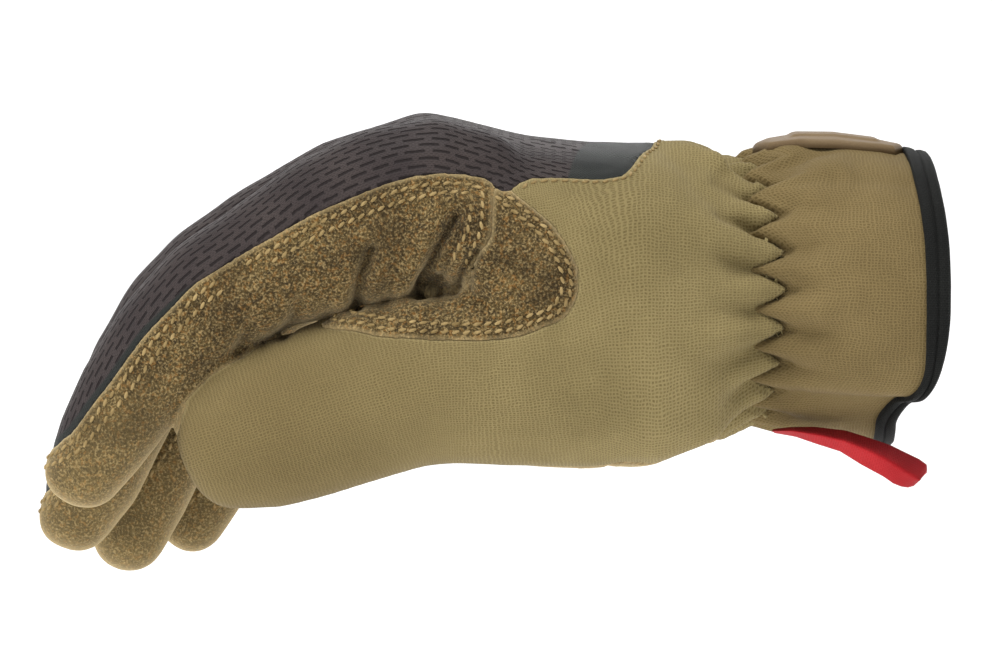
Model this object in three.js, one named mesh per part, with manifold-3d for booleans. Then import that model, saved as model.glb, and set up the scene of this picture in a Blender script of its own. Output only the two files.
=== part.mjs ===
// A stretch work glove for the right hand, filled out as it is when worn, with the fingers relaxed.
// Millimetres. The origin is the middle of the cuff's mouth. +X points out of the mouth, away from the
// fingertips, +Z is the back of the hand and +Y the little finger's side.
import * as THREE from "three";
import { mergeVertices } from "three/addons/utils/BufferGeometryUtils.js";
import Module from "manifold-3d";

const wasm = await Module();
wasm.setup();

// Walls and gaps
const WALL = 1.6;
const GAP = 0.3;
const CAVITY_PAST_END = 6;
const FAR = 90;
const SIDE = 42;

// The gathering seam: a zigzag round the wrist, with one column of the mesh for each turn
const ZIGZAGS = 22;
const AROUND = 2 * ZIGZAGS;
const SEAM_X = -37.5;
const SEAM = { near: 0, far: -0.8, top: -4.2, palm: -3.2 };
const TOOTH = 3.1;

// The cuff's hem lies further out on the thumb's side than on the palm's
const HEM = { near: 1.8, far: -1.5, top: -1.8, palm: -9 };

// The dent that folds the thumb's side of the cuff over the palm's side, deepest at the hem
const DENT = { angle: 233, width: 11, depth: 3.4, start: 0.25 };

// Digits
const DIGIT_MESH = { outside: { around: 14, rows: 10, cap: 3 }, inside: { around: 10, rows: 8, cap: 2 } };
const DIGIT_SQUARE = 2.3;

// The comma shape of the palm: how the ball of the thumb hangs below the thumb's side
const LOBE = { start: -0.45, end: 0.65 };

const table = (columns, rows) =>
  rows.map((row) => Object.fromEntries(columns.map((name, i) => [name, row[i]])));

// Sections of the hand from the gathering seam to the webs of the fingers. top, palm and thenar are
// heights, near and far the thumb's and little finger's sides, mid the height of the widest line,
// square how boxy the section is, and drop how far the back falls towards the little finger.
const HAND = table(
  ["x", "top", "palm", "thenar", "near", "far", "mid", "square", "drop"],
  [
    [-37.5, 30.3, -28.5, -28.5, -30, 30, 1, 2.15, 0],
    [-44, 30.2, -28, -33, -32.4, 32, 1, 2.2, 0],
    [-50, 32.6, -27, -38, -36, 34.5, 1.5, 2.25, 0.5],
    [-57, 34.6, -24, -39.4, -39.4, 37, 2.5, 2.3, 1],
    [-66, 35, -19.5, -36, -42.5, 39.5, 4, 2.35, 2],
    [-80, 36.4, -14, -30, -45.5, 42, 6.5, 2.4, 3.5],
    [-94, 38.8, -10, -20, -46.8, 44.5, 9.5, 2.4, 5.5],
    [-101, 40.6, -8, -12, -47, 45.6, 11.5, 2.4, 6.5],
    [-107, 42.9, -6.5, -5, -46.8, 46.4, 14, 2.4, 7.5],
    [-116, 43.8, -4.5, -2, -46.2, 47, 18, 2.4, 9],
    [-125, 38.5, -1, 2, -44, 45.4, 18, 2.3, 10],
    [-131, 32, 3, 6, -41.5, 43, 17, 2.3, 10],
    [-135.5, 24, 8.5, 10, -39, 40.5, 14, 2.3, 8],
  ],
);

// Sections of the cuff, by share of the way from the gathering seam to the hem
const CUFF = table(
  ["share", "top", "palm", "near", "far"],
  [
    [0, 30.3, -28.5, -30, 30],
    [0.14, 32.4, -29.8, -31.6, 31.4],
    [0.3, 33.9, -31, -33.4, 32.8],
    [0.5, 34.3, -32, -34.6, 34],
    [0.75, 33.6, -33, -35, 34.6],
    [1, 32, -33.4, -34.4, 34],
  ],
);

// How the gathers stand by their distance from the seam: the share of the zigzag that is left, the
// height of the ridge behind each tooth and of the valley between two
const GATHERS = table(
  ["away", "zigzag", "ridge", "valley"],
  [
    [0, 1, -1.7, -1.7],
    [2.5, 0.85, 0.7, -1.5],
    [6, 0.5, 1.5, -1],
    [11, 0.2, 1, -0.5],
    [18, 0, 0.3, -0.2],
  ],
);

// Digits by stations along the middle line. high and wide are half sizes, and radial and ulnar the
// heights of the side seams, as shares of high
const COLUMNS = ["x", "y", "z", "high", "wide", "radial", "ulnar"];
const DIGITS = {
  index: {
    cap: 6.2,
    stations: table(COLUMNS, [
      [-92.1, -33, 16.4, 10.8, 7, 0.4, 0],
      [-103.9, -34.5, 19.8, 18.2, 10, 0.38, 0],
      [-116.6, -35, 19.9, 19.9, 11.4, 0.35, 0],
      [-133.2, -35, 15, 18, 11.2, 0.34, 0],
      [-150.6, -34.6, 6.3, 14.6, 11, 0.36, 0],
      [-165.5, -34, -2.7, 13.3, 10.8, 0.36, 0],
      [-177.4, -33.2, -16.6, 11.8, 10.4, 0.38, 0.1],
      [-187, -32.5, -32.2, 10.3, 9.8, 0.55, 0.4],
      [-192.2, -32, -41, 8.2, 8, 1.15, 1.1],
    ]),
  },
  middle: {
    cap: 7.5,
    stations: table(COLUMNS, [
      [-92, -11, 19.8, 8.9, 7, 0, 0],
      [-103, -11.5, 25.1, 13.9, 10, 0, 0],
      [-117.9, -11.5, 26.7, 15.4, 10.8, 0, 0],
      [-138.6, -11.5, 17.8, 14.3, 10.8, 0, 0],
      [-158, -11.4, 6.9, 13.3, 10.8, 0, 0],
      [-168.5, -11.2, -1.3, 12.7, 10.7, 0, 0],
      [-176.8, -11, -11.9, 11.9, 10.5, 0, 0],
      [-184.6, -10.8, -27.5, 11.1, 10.2, 0.1, 0.1],
      [-190.6, -10.5, -41.8, 10.4, 9.8, 0.45, 0.45],
      [-194.8, -10.3, -50.6, 8.1, 8, 1.15, 1.15],
    ]),
  },
  ring: {
    cap: 7.5,
    stations: table(COLUMNS, [
      [-91.9, 11.5, 15.2, 8.1, 7, 0, 0],
      [-102, 12, 21.2, 13.5, 9.6, 0, 0],
      [-116.1, 12, 21.8, 14.9, 10.4, 0, 0],
      [-134.3, 12, 13.8, 13.7, 10.4, 0, 0],
      [-152.4, 12, 2.1, 12.9, 10.4, 0, 0],
      [-164.5, 12, -10, 12.1, 10.3, 0, 0],
      [-172.6, 11.8, -25.1, 11.6, 10.1, 0, 0],
      [-179.2, 11.4, -42.2, 10.7, 9.8, 0.35, 0.35],
      [-183.8, 11, -55.9, 7.9, 8, 1.15, 1.15],
    ]),
  },
  little: {
    cap: 6.2,
    stations: table(COLUMNS, [
      [-89.8, 33, 10.4, 7.2, 6, 0, 0],
      [-100, 34, 15.1, 11.9, 9, 0, 0],
      [-112.3, 34.5, 14.7, 13.3, 9.8, 0, 0.1],
      [-127.7, 34.5, 7.4, 12.3, 9.6, 0, 0.1],
      [-142, 34.2, -3.9, 11.5, 9.5, 0, 0.1],
      [-151.2, 33.8, -16.2, 10.8, 9.3, 0, 0.1],
      [-159.3, 33.2, -30.5, 10.2, 9, 0, 0.1],
      [-166.8, 32.4, -44.3, 9.2, 8.6, 0.35, 0.4],
      [-170.6, 31.8, -53.2, 7.2, 7.2, 1.15, 1.15],
    ]),
  },
  thumb: {
    cap: 9,
    stations: table(COLUMNS, [
      [-52, -17, -10, 13, 10, 0, 0],
      [-60, -21, -13.5, 23.4, 16.6, 0, 0],
      [-70.5, -25.5, -16.5, 23, 18, 0, 0],
      [-84.3, -28.5, -18, 20.8, 17.8, 0, 0],
      [-100, -31.5, -18.4, 19.8, 16, 0, 0],
      [-113.7, -32.5, -18.7, 18.2, 14.6, 0, 0],
      [-126.4, -33, -22, 18.6, 14, 0, 0],
      [-140.1, -33, -26.6, 18.2, 13.6, 0, 0],
      [-151.8, -32.4, -30.2, 18, 13, 0, 0],
      [-160.6, -31.8, -33, 15.4, 11.4, 0, 0],
    ]),
  },
};

// Seams. The back panel's edge by x: its height on the thumb's side and on the little finger's side
const BACK_EDGE = table(
  ["x", "near", "far"],
  [
    [-61, 36, 24],
    [-63.9, 31.6, 22],
    [-66, 29.4, 20],
    [-69.5, 27.6, 17.5],
    [-75, 26.3, 15.5],
    [-91, 26, 14],
    [-97.2, 22.2, 13.8],
    [-99.8, 24.2, 13.6],
    [-102.1, 25.5, 13.4],
    [-105.6, 26.4, 13.2],
    [-110.9, 26.9, 14],
    [-117.3, 26.1, 13.6],
    [-126.3, 23.7, 9.4],
    [-135, 19.8, 3.6],
  ],
);
const BACK_END = { x: -61.6, curve: 140 };

// The palm panel's edge by x: where it meets the side panel under the ball of the thumb, and its
// height on the little finger's side
const PALM_EDGE = table(
  ["x", "y", "far", "inside"],
  [
    [-48.4, -14, -16, -2],
    [-56, -22, -8, 0],
    [-66, -27, 3, 2],
    [-73, -30.5, 19, 4],
    [-92, -30.5, 19, 6],
    [-102, -28, 19, 8],
  ],
);

// The oval patch in the crotch of the thumb, and the crease between thumb and forefinger, seen from
// the thumb's side
const PATCH = table(
  ["x", "z"],
  [
    [-97, 23.6],
    [-91.1, 19.1],
    [-86.8, 15.6],
    [-83.5, 11.4],
    [-80.9, 6.2],
    [-80.5, 0.6],
    [-82.6, -4.1],
    [-86.9, -7.1],
    [-93.4, -9.6],
    [-101.8, -10.5],
    [-112.6, -10.2],
    [-125.4, -9.4],
    [-137.8, -7.6],
    [-130.1, -4.2],
    [-121.7, -2.7],
    [-116.8, -1.2],
    [-109.7, 0.4],
    [-105, 2.1],
    [-102.9, 8.5],
    [-100.2, 12.3],
    [-99.7, 25.6],
  ],
);
const CREASE = table(
  ["x", "z"],
  [
    [-100.7, 58],
    [-99.8, 21.1],
    [-99.8, 17.8],
    [-100.2, 12.3],
    [-102.9, 8.5],
    [-105, 2.1],
    [-109.7, 0.4],
    [-116.8, -1.2],
    [-121.7, -2.7],
    [-130.1, -4.2],
    [-139.8, -7.1],
    [-151.4, -12.3],
    [-161.1, -18.1],
    [-167.4, -24.1],
    [-170.2, -32.3],
    [-170.8, -58.5],
    [-226.1, -58.5],
    [-226.1, 58],
  ],
);
const PATCH_DEPTH = -22;
const PALM_BOX = { x: -100.8, y: -28 };

// The seam that joins the thumb's front to the palm, seen from the thumb's side
const THUMB_SEAM = table(
  ["x", "z"],
  [
    [-71, -24],
    [-88, -20],
    [-104, -13],
    [-112, -8.6],
    [-120, -7.4],
    [-130, -7.6],
    [-139, -8],
    [-153, -13.4],
    [-162, -19],
    [-168.4, -25.4],
    [-171, -33],
    [-172, -90],
    [-71, -90],
  ],
);
const THUMB_FRONT_DEPTH = -7;

// The hem's binding, a folded tape
const BINDING = { reach: 4.4, past: 1.3, thick: 1.2, groove: 0.35 };

// The rubber label on the back of the cuff, with a plain raised bar
const LABEL = { start: 0.06, end: 0.86, half: 23, thick: 1.7, barHalf: 15, barThick: 0.8, inset: 4.5 };

// The pull tab, a strip of webbing folded lengthwise, under the cuff. The fold is a ridge at y and z,
// from which one half rises and the other falls away.
const TAB = table(
  ["x", "y", "z", "rise", "fall"],
  [
    [-36, -19.5, -30, 0.8, 1],
    [-30, -20, -31, 1.8, 1.8],
    [-21, -20.5, -32.9, 2.9, 2.6],
    [-15, -21, -34.2, 2.8, 4],
    [-8.5, -21.5, -37, 3.4, 5],
    [-2.5, -21.5, -40.4, 3.8, 4],
  ],
);
const TAB_DEPTH = 6;
const TAB_THICK = 1.3;
const TAB_SLANT = 0.55;

// The colours of the cloths
const CLOTHS = {
  knit: { color: 0x9b8a5e, roughness: 0.85 },
  mesh: { color: 0x4d4546, roughness: 0.7 },
  suede: { color: 0x6e5a35, roughness: 0.95 },
  tape: { color: 0x1b1c1c, roughness: 0.8 },
  label: { color: 0x84705a, roughness: 0.6 },
  webbing: { color: 0xb1232a, roughness: 0.8 },
};

const mix = THREE.MathUtils.lerp;
const radians = THREE.MathUtils.degToRad;
const power = (value, exponent) => Math.sign(value) * Math.abs(value) ** exponent;

// The row of a table at a given value of its first column, with a smooth cubic between rows
function rowAt(rows, key, value) {
  const columns = Object.keys(rows[0]);
  const falling = rows[0][key] > rows[rows.length - 1][key];
  const sorted = falling ? [...rows].reverse() : rows;
  const keys = sorted.map((row) => row[key]);
  const samples = sorted.flatMap((row) => columns.map((name) => row[name]));
  const spline = new THREE.CubicInterpolant(keys, samples, columns.length);
  const found = spline.evaluate(THREE.MathUtils.clamp(value, keys[0], keys[keys.length - 1]));
  return Object.fromEntries(columns.map((name, i) => [name, found[i]]));
}

// A closed mesh as a solid, turned right side out
function solidOf(points, triangles) {
  const geometry = new THREE.BufferGeometry().setFromPoints(points).setIndex(triangles);
  return solidOfGeometry(geometry);
}

function solidOfGeometry(geometry) {
  geometry.deleteAttribute("normal");
  geometry.deleteAttribute("uv");
  const merged = mergeVertices(geometry, 1e-4);
  const vertProperties = new Float32Array(merged.attributes.position.array);
  const triVerts = new Uint32Array(merged.index.array);
  const build = () => new wasm.Manifold(new wasm.Mesh({ numProp: 3, vertProperties, triVerts }));
  const solid = build();
  if (solid.volume() > 0) return solid;
  for (let i = 0; i < triVerts.length; i += 3) {
    [triVerts[i + 1], triVerts[i + 2]] = [triVerts[i + 2], triVerts[i + 1]];
  }
  return build();
}

// A solid through rings of equal count, each end closed by a fan to its middle
function loft(rings) {
  const count = rings[0].length;
  const points = rings.flat();
  const triangles = [];
  for (let row = 0; row + 1 < rings.length; row++) {
    for (let i = 0; i < count; i++) {
      const [a, b] = [row * count + i, row * count + ((i + 1) % count)];
      triangles.push(a, b, b + count, a, b + count, a + count);
    }
  }
  [rings[0], rings[rings.length - 1]].forEach((ring, end) => {
    const middle = new THREE.Vector3();
    ring.forEach((point) => middle.addScaledVector(point, 1 / count));
    const first = end ? (rings.length - 1) * count : 0;
    points.push(middle);
    for (let i = 0; i < count; i++) {
      const [a, b] = [first + i, first + ((i + 1) % count)];
      triangles.push(points.length - 1, ...(end ? [a, b] : [b, a]));
    }
  });
  return solidOf(points, triangles);
}

const union = (solids) => solids.reduce((all, solid) => all.add(solid));

// One point of a hand or cuff section. angle 0 is the little finger's side and 90 the back.
function sectionPoint(row, angle, inset, out) {
  const [c, s] = [Math.cos(angle), Math.sin(angle)];
  const exponent = 2 / row.square;
  const lobe = THREE.MathUtils.smoothstep(-c, LOBE.start, LOBE.end);
  const depth = s > 0 ? row.top - row.mid : row.mid - mix(row.palm, row.thenar, lobe);
  const fall = s > 0 ? (row.drop * (1 + c)) / 2 : 0;
  const half = (row.far - row.near) / 2;
  const y = (row.far + row.near) / 2 + (half - inset + out) * power(c, exponent);
  const z = row.mid + (depth - inset + out - fall) * power(s, exponent);
  return [y, z];
}

// The gathers at a distance from the seam. Each piece ridges behind its own teeth.
function gather(away, ownTooth) {
  if (away >= GATHERS[GATHERS.length - 1].away) return { zigzag: 0, out: 0 };
  const row = rowAt(GATHERS, "away", away);
  return { zigzag: row.zigzag, out: ownTooth ? row.ridge : row.valley };
}

// Rings of the hand from the seam to the webs, inset by a wall or not
function handRings(inset) {
  const gathered = inset ? [0, 4, 12] : [0, 2.5, 6, 11, 17];
  const webs = inset ? [-111, -124, -134] : [-106, -111, -117, -124, -130, -135.5];
  const palm = inset ? [-66, -80, -94, -101] : [-62, -71, -82, -93, -101];
  const places = [...gathered.map((away) => SEAM_X - away), ...palm, ...webs];
  const rings = places.map((x) => handRing(x, inset));
  if (inset) rings.unshift(shifted(rings[0], CAVITY_PAST_END));
  return rings;
}

function handRing(x, inset) {
  const row = rowAt(HAND, "x", x);
  return columns(inset ? 2 : 1).map((column) => {
    const angle = angleOf(column);
    const { zigzag, out } = gather(SEAM_X - x, column % 2 === 0 && !inset);
    const [y, z] = sectionPoint(row, angle, inset, out);
    const bow = (seamX(angle) - SEAM_X) * (1 - THREE.MathUtils.smoothstep(SEAM_X - x, 0, 25));
    return new THREE.Vector3(x + bow - GAP / 2 + zigzag * toothOf(column, inset), y, z);
  });
}

// The columns of a ring, each with its angle. The inside of a wall has no teeth.
const columns = (step = 1) => Array.from({ length: AROUND / step }, (_, i) => i * step);
const angleOf = (column) => (2 * Math.PI * column) / AROUND;
const toothOf = (column, inset) => (inset > 0 ? 0 : column % 2 === 0 ? TOOTH : -TOOTH);
const shifted = (ring, x) => ring.map((point) => point.clone().setX(point.x + x));

// How far out a line round the wrist lies at an angle
function aroundWrist({ near, far, top, palm }, angle) {
  const [c, s] = [Math.cos(angle), Math.sin(angle)];
  return c * c * (c < 0 ? near : far) + s * s * (s > 0 ? top : palm);
}

const hemX = (angle) => aroundWrist(HEM, angle);
const seamX = (angle) => SEAM_X + aroundWrist(SEAM, angle);

// A point of the cuff by its share of the way to the hem
function cuffPoint(share, angle, inset, zigzag = 0, out = 0) {
  const row = { ...rowAt(CUFF, "share", share), mid: 1 - share, square: 2.15, drop: 0 };
  row.thenar = row.palm;
  const turn = (THREE.MathUtils.radToDeg(angle) - DENT.angle) / DENT.width;
  const late = THREE.MathUtils.smoothstep(share, DENT.start, 1);
  const dent = DENT.depth * late * Math.exp(-turn * turn);
  const [y, z] = sectionPoint(row, angle, inset, out - dent);
  return new THREE.Vector3(mix(seamX(angle), hemX(angle), share) + GAP / 2 + zigzag, y, z);
}

function cuffRings(inset) {
  const shares = inset > 0 ? [0, 0.3, 0.75, 1] : [0, 0.07, 0.17, 0.32, 0.5, 0.75, 1];
  const rings = shares.map((share) =>
    columns().map((column) => {
      const angle = angleOf(column);
      const away = share * (hemX(angle) - seamX(angle));
      const { zigzag, out } = gather(away, column % 2 === 1 && inset <= 0);
      return cuffPoint(share, angle, inset, zigzag * toothOf(column, inset), out);
    }),
  );
  if (!inset) return rings;
  return [shifted(rings[0], -CAVITY_PAST_END), ...rings, shifted(rings.at(-1), CAVITY_PAST_END)];
}

// A digit's middle line, sizes and directions at even steps
function digitFrames(digit, rows = DIGIT_MESH.outside.rows) {
  const { stations } = DIGITS[digit];
  const line = new THREE.CatmullRomCurve3(stations.map(({ x, y, z }) => new THREE.Vector3(x, y, z)));
  return Array.from({ length: rows + 1 }, (_, i) => {
    const share = i / rows;
    const place = share * (stations.length - 1);
    const from = stations[Math.min(Math.floor(place), stations.length - 2)];
    const to = stations[stations.indexOf(from) + 1];
    const size = (name) => mix(from[name], to[name], place - stations.indexOf(from));
    const along = line.getTangent(share);
    const side = new THREE.Vector3(0, 1, 0).projectOnPlane(along).normalize();
    const back = side.clone().cross(along);
    return { middle: line.getPoint(share), along, side, back, size };
  });
}

const at = ({ middle, side, back }, across, up) =>
  middle.clone().addScaledVector(side, across).addScaledVector(back, up);

// A digit as a solid with a rounded end, inset by a wall or not
function digitSolid(digit, inset) {
  const mesh = inset ? DIGIT_MESH.inside : DIGIT_MESH.outside;
  const frames = digitFrames(digit, mesh.rows);
  const ring = (frame, scale, ahead) => {
    const place = { ...frame, middle: frame.middle.clone().addScaledVector(frame.along, ahead) };
    return Array.from({ length: mesh.around }, (_, i) => {
      const angle = (2 * Math.PI * (i + 0.5)) / mesh.around;
      const across = power(Math.cos(angle), 2 / DIGIT_SQUARE) * (frame.size("wide") - inset);
      const up = power(Math.sin(angle), 2 / DIGIT_SQUARE) * (frame.size("high") - inset);
      return at(place, scale * across, scale * up);
    });
  };
  const rings = frames.map((frame) => ring(frame, 1, 0));
  const cap = DIGITS[digit].cap - inset;
  for (let i = 1; i <= mesh.cap; i++) {
    const turn = (i / (mesh.cap + 0.25)) * (Math.PI / 2);
    rings.push(ring(frames[frames.length - 1], Math.cos(turn) ** 0.8, cap * Math.sin(turn)));
  }
  return loft(rings);
}

// The whole hand with its digits, filled
const handForm = (inset) =>
  union([loft(handRings(inset)), ...Object.keys(DIGITS).map((digit) => digitSolid(digit, inset))]);

// A flat outline in the side view, given depth from y to y, and grown by a margin
function sideRegion(outline, fromY, toY, grow) {
  const points = outline.map(({ x, z }) => new THREE.Vector2(x, z));
  const turning = Math.sign(THREE.ShapeUtils.area(points));
  const ways = points.map((point, i) => points[(i + 1) % points.length].clone().sub(point).normalize());
  const grown = points.map((point, i) => {
    const [before, after] = [ways[(i + ways.length - 1) % ways.length], ways[i]];
    const reach = (grow * turning) / Math.max(1 + before.dot(after), 0.12);
    const outward = new THREE.Vector2(before.y + after.y, -before.x - after.x);
    return point.clone().addScaledVector(outward, reach);
  });
  const depth = toY - fromY;
  const geometry = new THREE.ExtrudeGeometry(new THREE.Shape(grown), { depth, bevelEnabled: false });
  geometry.rotateX(Math.PI / 2).translate(0, toY, 0);
  return solidOfGeometry(geometry);
}

// A box between two corners
function boxRegion(low, high) {
  const [size, middle] = [new THREE.Vector3(), new THREE.Vector3()];
  const box = new THREE.Box3(new THREE.Vector3(...low), new THREE.Vector3(...high));
  box.getSize(size);
  box.getCenter(middle);
  const geometry = new THREE.BoxGeometry(size.x, size.y, size.z);
  return solidOfGeometry(geometry.translate(middle.x, middle.y, middle.z).toNonIndexed());
}

// A solid through flat corners, one set for each row of a table
const prismThrough = (rows, corners) =>
  loft(rows.map((row) => corners(row).map(([y, z]) => new THREE.Vector3(row.x, y, z))));

// All that lies on the back panel's side of its seams
function backRegion(grow) {
  const last = BACK_EDGE.length - 1;
  const rows = BACK_EDGE.map((row, i) => ({ ...row, x: row.x - (i === last ? grow : 0) }));
  const hand = prismThrough(rows, ({ near, far }) => [
    [-FAR, near - grow],
    [-SIDE, near - grow],
    [SIDE, far - grow],
    [FAR, far - grow],
    [FAR, FAR],
    [-FAR, FAR],
  ]);
  const end = Array.from({ length: 13 }, (_, i) => {
    const y = -FAR + (i * FAR) / 6;
    return new THREE.Vector2(BACK_END.x + grow - (y * y) / BACK_END.curve, y);
  });
  const beyond = [FAR, -FAR].map((y) => new THREE.Vector2(-FAR * 2.5, y));
  const outline = new THREE.Shape([...end, ...beyond]);
  const top = new THREE.ExtrudeGeometry(outline, { depth: 2 * FAR, bevelEnabled: false });
  const ribbons = ["index", "middle", "ring", "little"].map((digit) => digitBack(digit, grow));
  return union([hand.intersect(solidOfGeometry(top.translate(0, 0, -FAR))), ...ribbons]);
}

// The back of one digit, above its side seams
function digitBack(digit, grow) {
  const spare = 4;
  const frames = digitFrames(digit).filter(({ middle }) => middle.x < -112);
  frames[0].middle.addScaledVector(frames[0].along, -grow);
  frames.at(-1).middle.addScaledVector(frames.at(-1).along, grow);
  return loft(
    frames.map((frame) => {
      const high = frame.size("high");
      const wide = frame.size("wide") + spare + grow;
      return [
        at(frame, -wide, frame.size("radial") * high - grow),
        at(frame, wide, frame.size("ulnar") * high - grow),
        at(frame, wide, high + 2 * spare + grow),
        at(frame, -wide, high + 2 * spare + grow),
      ];
    }),
  );
}

// All that lies on the palm panel's side of its seams, once the back is away
function palmRegion(grow) {
  const heel = prismThrough(PALM_EDGE.map((row, i) => ({ ...row, x: row.x + (i ? 0 : grow) })), (row) => [
    [row.y - grow, -FAR],
    [FAR, -FAR],
    [FAR, row.far + grow],
    [row.y - grow, row.inside],
  ]);
  const forefinger = sideRegion(CREASE, -FAR, PALM_BOX.y + 10, grow);
  const fingers = boxRegion([-3 * FAR, PALM_BOX.y - grow, -FAR], [PALM_BOX.x + grow, FAR, FAR]);
  return union([heel, forefinger, fingers]);
}

const patchRegion = (grow) => sideRegion(PATCH, -FAR, PATCH_DEPTH, grow);
const thumbFrontRegion = (grow) => sideRegion(THUMB_SEAM, -FAR, THUMB_FRONT_DEPTH + grow, grow);

// The biggest body of a cut piece, without the crumbs a seam may leave
const mainBody = (solid) =>
  solid.decompose().reduce((most, body) => (body.volume() > most.volume() ? body : most));

// The panels of the hand, cut from one wall along the seams
function panels() {
  const wall = handForm(0).subtract(handForm(WALL));
  const noBack = wall.subtract(backRegion(GAP));
  const noPatch = noBack.subtract(patchRegion(GAP));
  const front = noPatch.intersect(palmRegion(0));
  return {
    back_panel: wall.intersect(backRegion(0)),
    thumb_patch: noBack.intersect(patchRegion(0)),
    palm_panel: front.subtract(thumbFrontRegion(GAP)),
    thumb_front: front.intersect(thumbFrontRegion(0)),
    side_panel: noPatch.subtract(palmRegion(GAP)),
  };
}

const cuff = () => loft(cuffRings(0)).subtract(loft(cuffRings(WALL)));

// The binding, a channel round the hem with a groove along its outer face
function binding() {
  const share = (mm) => 1 + mm / -SEAM_X;
  const { reach, past, thick, groove } = BINDING;
  const profile = [
    [-reach, -GAP],
    [-reach, -thick],
    [-reach * 0.34, -thick - 0.1],
    [-reach * 0.24, -thick + groove],
    [-reach * 0.14, -thick - 0.1],
    [past, -thick * 0.2],
    [past, WALL + thick * 0.2],
    [-reach, WALL + thick],
    [-reach, WALL + GAP],
    [GAP, WALL + GAP],
    [GAP, -GAP],
  ];
  const rows = columns().map(angleOf).map((angle) =>
    profile.map(([along, inset]) => {
      const point = cuffPoint(Math.min(share(along), 1), angle, inset);
      return along > 0 ? point.setX(point.x + along) : point;
    }),
  );
  const [count, points] = [profile.length, rows.flat()];
  const triangles = [];
  for (let row = 0; row < rows.length; row++) {
    for (let i = 0; i < count; i++) {
      const [a, b] = [row * count + i, row * count + ((i + 1) % count)];
      const [c, d] = [a, b].map((n) => (n + count) % points.length);
      triangles.push(a, b, d, a, d, c);
    }
  }
  return solidOf(points, triangles);
}

// A plate that follows the back of the cuff, from share to share and across a span of degrees
function cuffPlate(from, to, half, low, high) {
  const across = 6;
  const [rows, corner] = [6, 0.25];
  const rings = Array.from({ length: rows + 1 }, (_, row) => {
    const end = Math.min(row, rows - row);
    const span = half * (end ? 1 : 1 - corner);
    const share = mix(from, to, row / rows);
    const arc = Array.from({ length: across + 1 }, (_, i) => radians(90 - span + (2 * span * i) / across));
    const top = arc.map((angle) => cuffPoint(share, angle, -high));
    const bottom = arc.map((angle) => cuffPoint(share, angle, -low)).reverse();
    return [...top, ...bottom];
  });
  return loft(rings);
}

function label() {
  const { start, end, half, thick, barHalf, barThick, inset } = LABEL;
  const margin = inset / -SEAM_X;
  const lift = GAP + 0.4;
  const face = lift + thick;
  const plate = cuffPlate(start, end, half, lift, face);
  const bar = cuffPlate(start + 2 * margin, end - margin, barHalf, face - GAP, face + barThick);
  return plate.add(bar).subtract(loft(cuffRings(-GAP)));
}

// The pull tab as a folded strip, its end cut on a slant
function pullTab() {
  const rings = TAB.map(({ x, y, z, rise, fall }, i) => {
    const slant = i === TAB.length - 1 ? TAB_SLANT : 0;
    return [
      [0, 0],
      [TAB_DEPTH, rise],
      [TAB_DEPTH + 0.3, rise - TAB_THICK],
      [TAB_THICK * 1.6, -TAB_THICK * 0.3],
      [TAB_DEPTH * 0.8, TAB_THICK - fall],
      [TAB_DEPTH * 0.8 - 0.3, -fall],
    ].map(([across, up]) => new THREE.Vector3(x + slant * up, y + across, z + up));
  });
  return loft(rings).subtract(loft(cuffRings(-GAP)));
}

function meshOf(name, solid, cloth) {
  const { numProp, numVert, vertProperties, triVerts } = mainBody(solid).getMesh();
  const positions = new Float32Array(numVert * 3);
  for (let i = 0; i < numVert; i++) {
    positions.set(vertProperties.subarray(i * numProp, i * numProp + 3), i * 3);
  }
  const geometry = new THREE.BufferGeometry();
  geometry.setAttribute("position", new THREE.BufferAttribute(positions, 3));
  geometry.setIndex(new THREE.BufferAttribute(triVerts, 1));
  geometry.computeVertexNormals();
  const mesh = new THREE.Mesh(geometry, new THREE.MeshStandardMaterial({ ...cloth, metalness: 0 }));
  mesh.name = name;
  return mesh;
}

const { back_panel, thumb_patch, palm_panel, thumb_front, side_panel } = panels();
const glove = new THREE.Group();
glove.add(
  meshOf("back_panel", back_panel, CLOTHS.mesh),
  meshOf("palm_panel", palm_panel, CLOTHS.suede),
  meshOf("thumb_front", thumb_front, CLOTHS.suede),
  meshOf("side_panel", side_panel, CLOTHS.knit),
  meshOf("thumb_patch", thumb_patch, CLOTHS.suede),
  meshOf("cuff", cuff(), CLOTHS.knit),
  meshOf("hem_binding", binding(), CLOTHS.tape),
  meshOf("cuff_label", label(), CLOTHS.label),
  meshOf("pull_tab", pullTab(), CLOTHS.webbing),
);

export default glove;
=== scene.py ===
"""Looks of a stretch work glove, filled out as it is when worn.

The shapes are worked out in millimetres in the part's own frame: +X out of the cuff's mouth, +Z the
back of the hand, +Y the little finger's side. Each finished piece is then scaled to metres.
"""

import math
import random

import bmesh
import bpy
import numpy as np
from mathutils import Matrix, Vector, noise
from mathutils.bvhtree import BVHTree


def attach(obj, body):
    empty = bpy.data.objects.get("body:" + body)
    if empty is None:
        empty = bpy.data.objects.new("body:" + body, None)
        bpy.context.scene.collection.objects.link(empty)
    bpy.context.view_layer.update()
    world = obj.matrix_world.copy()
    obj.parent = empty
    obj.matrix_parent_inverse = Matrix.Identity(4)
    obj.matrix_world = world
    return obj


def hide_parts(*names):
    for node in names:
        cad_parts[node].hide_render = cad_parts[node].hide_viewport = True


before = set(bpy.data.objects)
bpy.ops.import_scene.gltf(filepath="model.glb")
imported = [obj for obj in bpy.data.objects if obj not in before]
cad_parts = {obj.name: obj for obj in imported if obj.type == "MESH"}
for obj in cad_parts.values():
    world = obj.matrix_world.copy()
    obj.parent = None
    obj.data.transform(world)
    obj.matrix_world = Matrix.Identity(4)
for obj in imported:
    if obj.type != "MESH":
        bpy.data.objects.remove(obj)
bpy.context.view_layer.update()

MM = 0.001
HAND_NODES = ["palm_panel", "back_panel", "side_panel", "thumb_patch", "thumb_front"]

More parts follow.
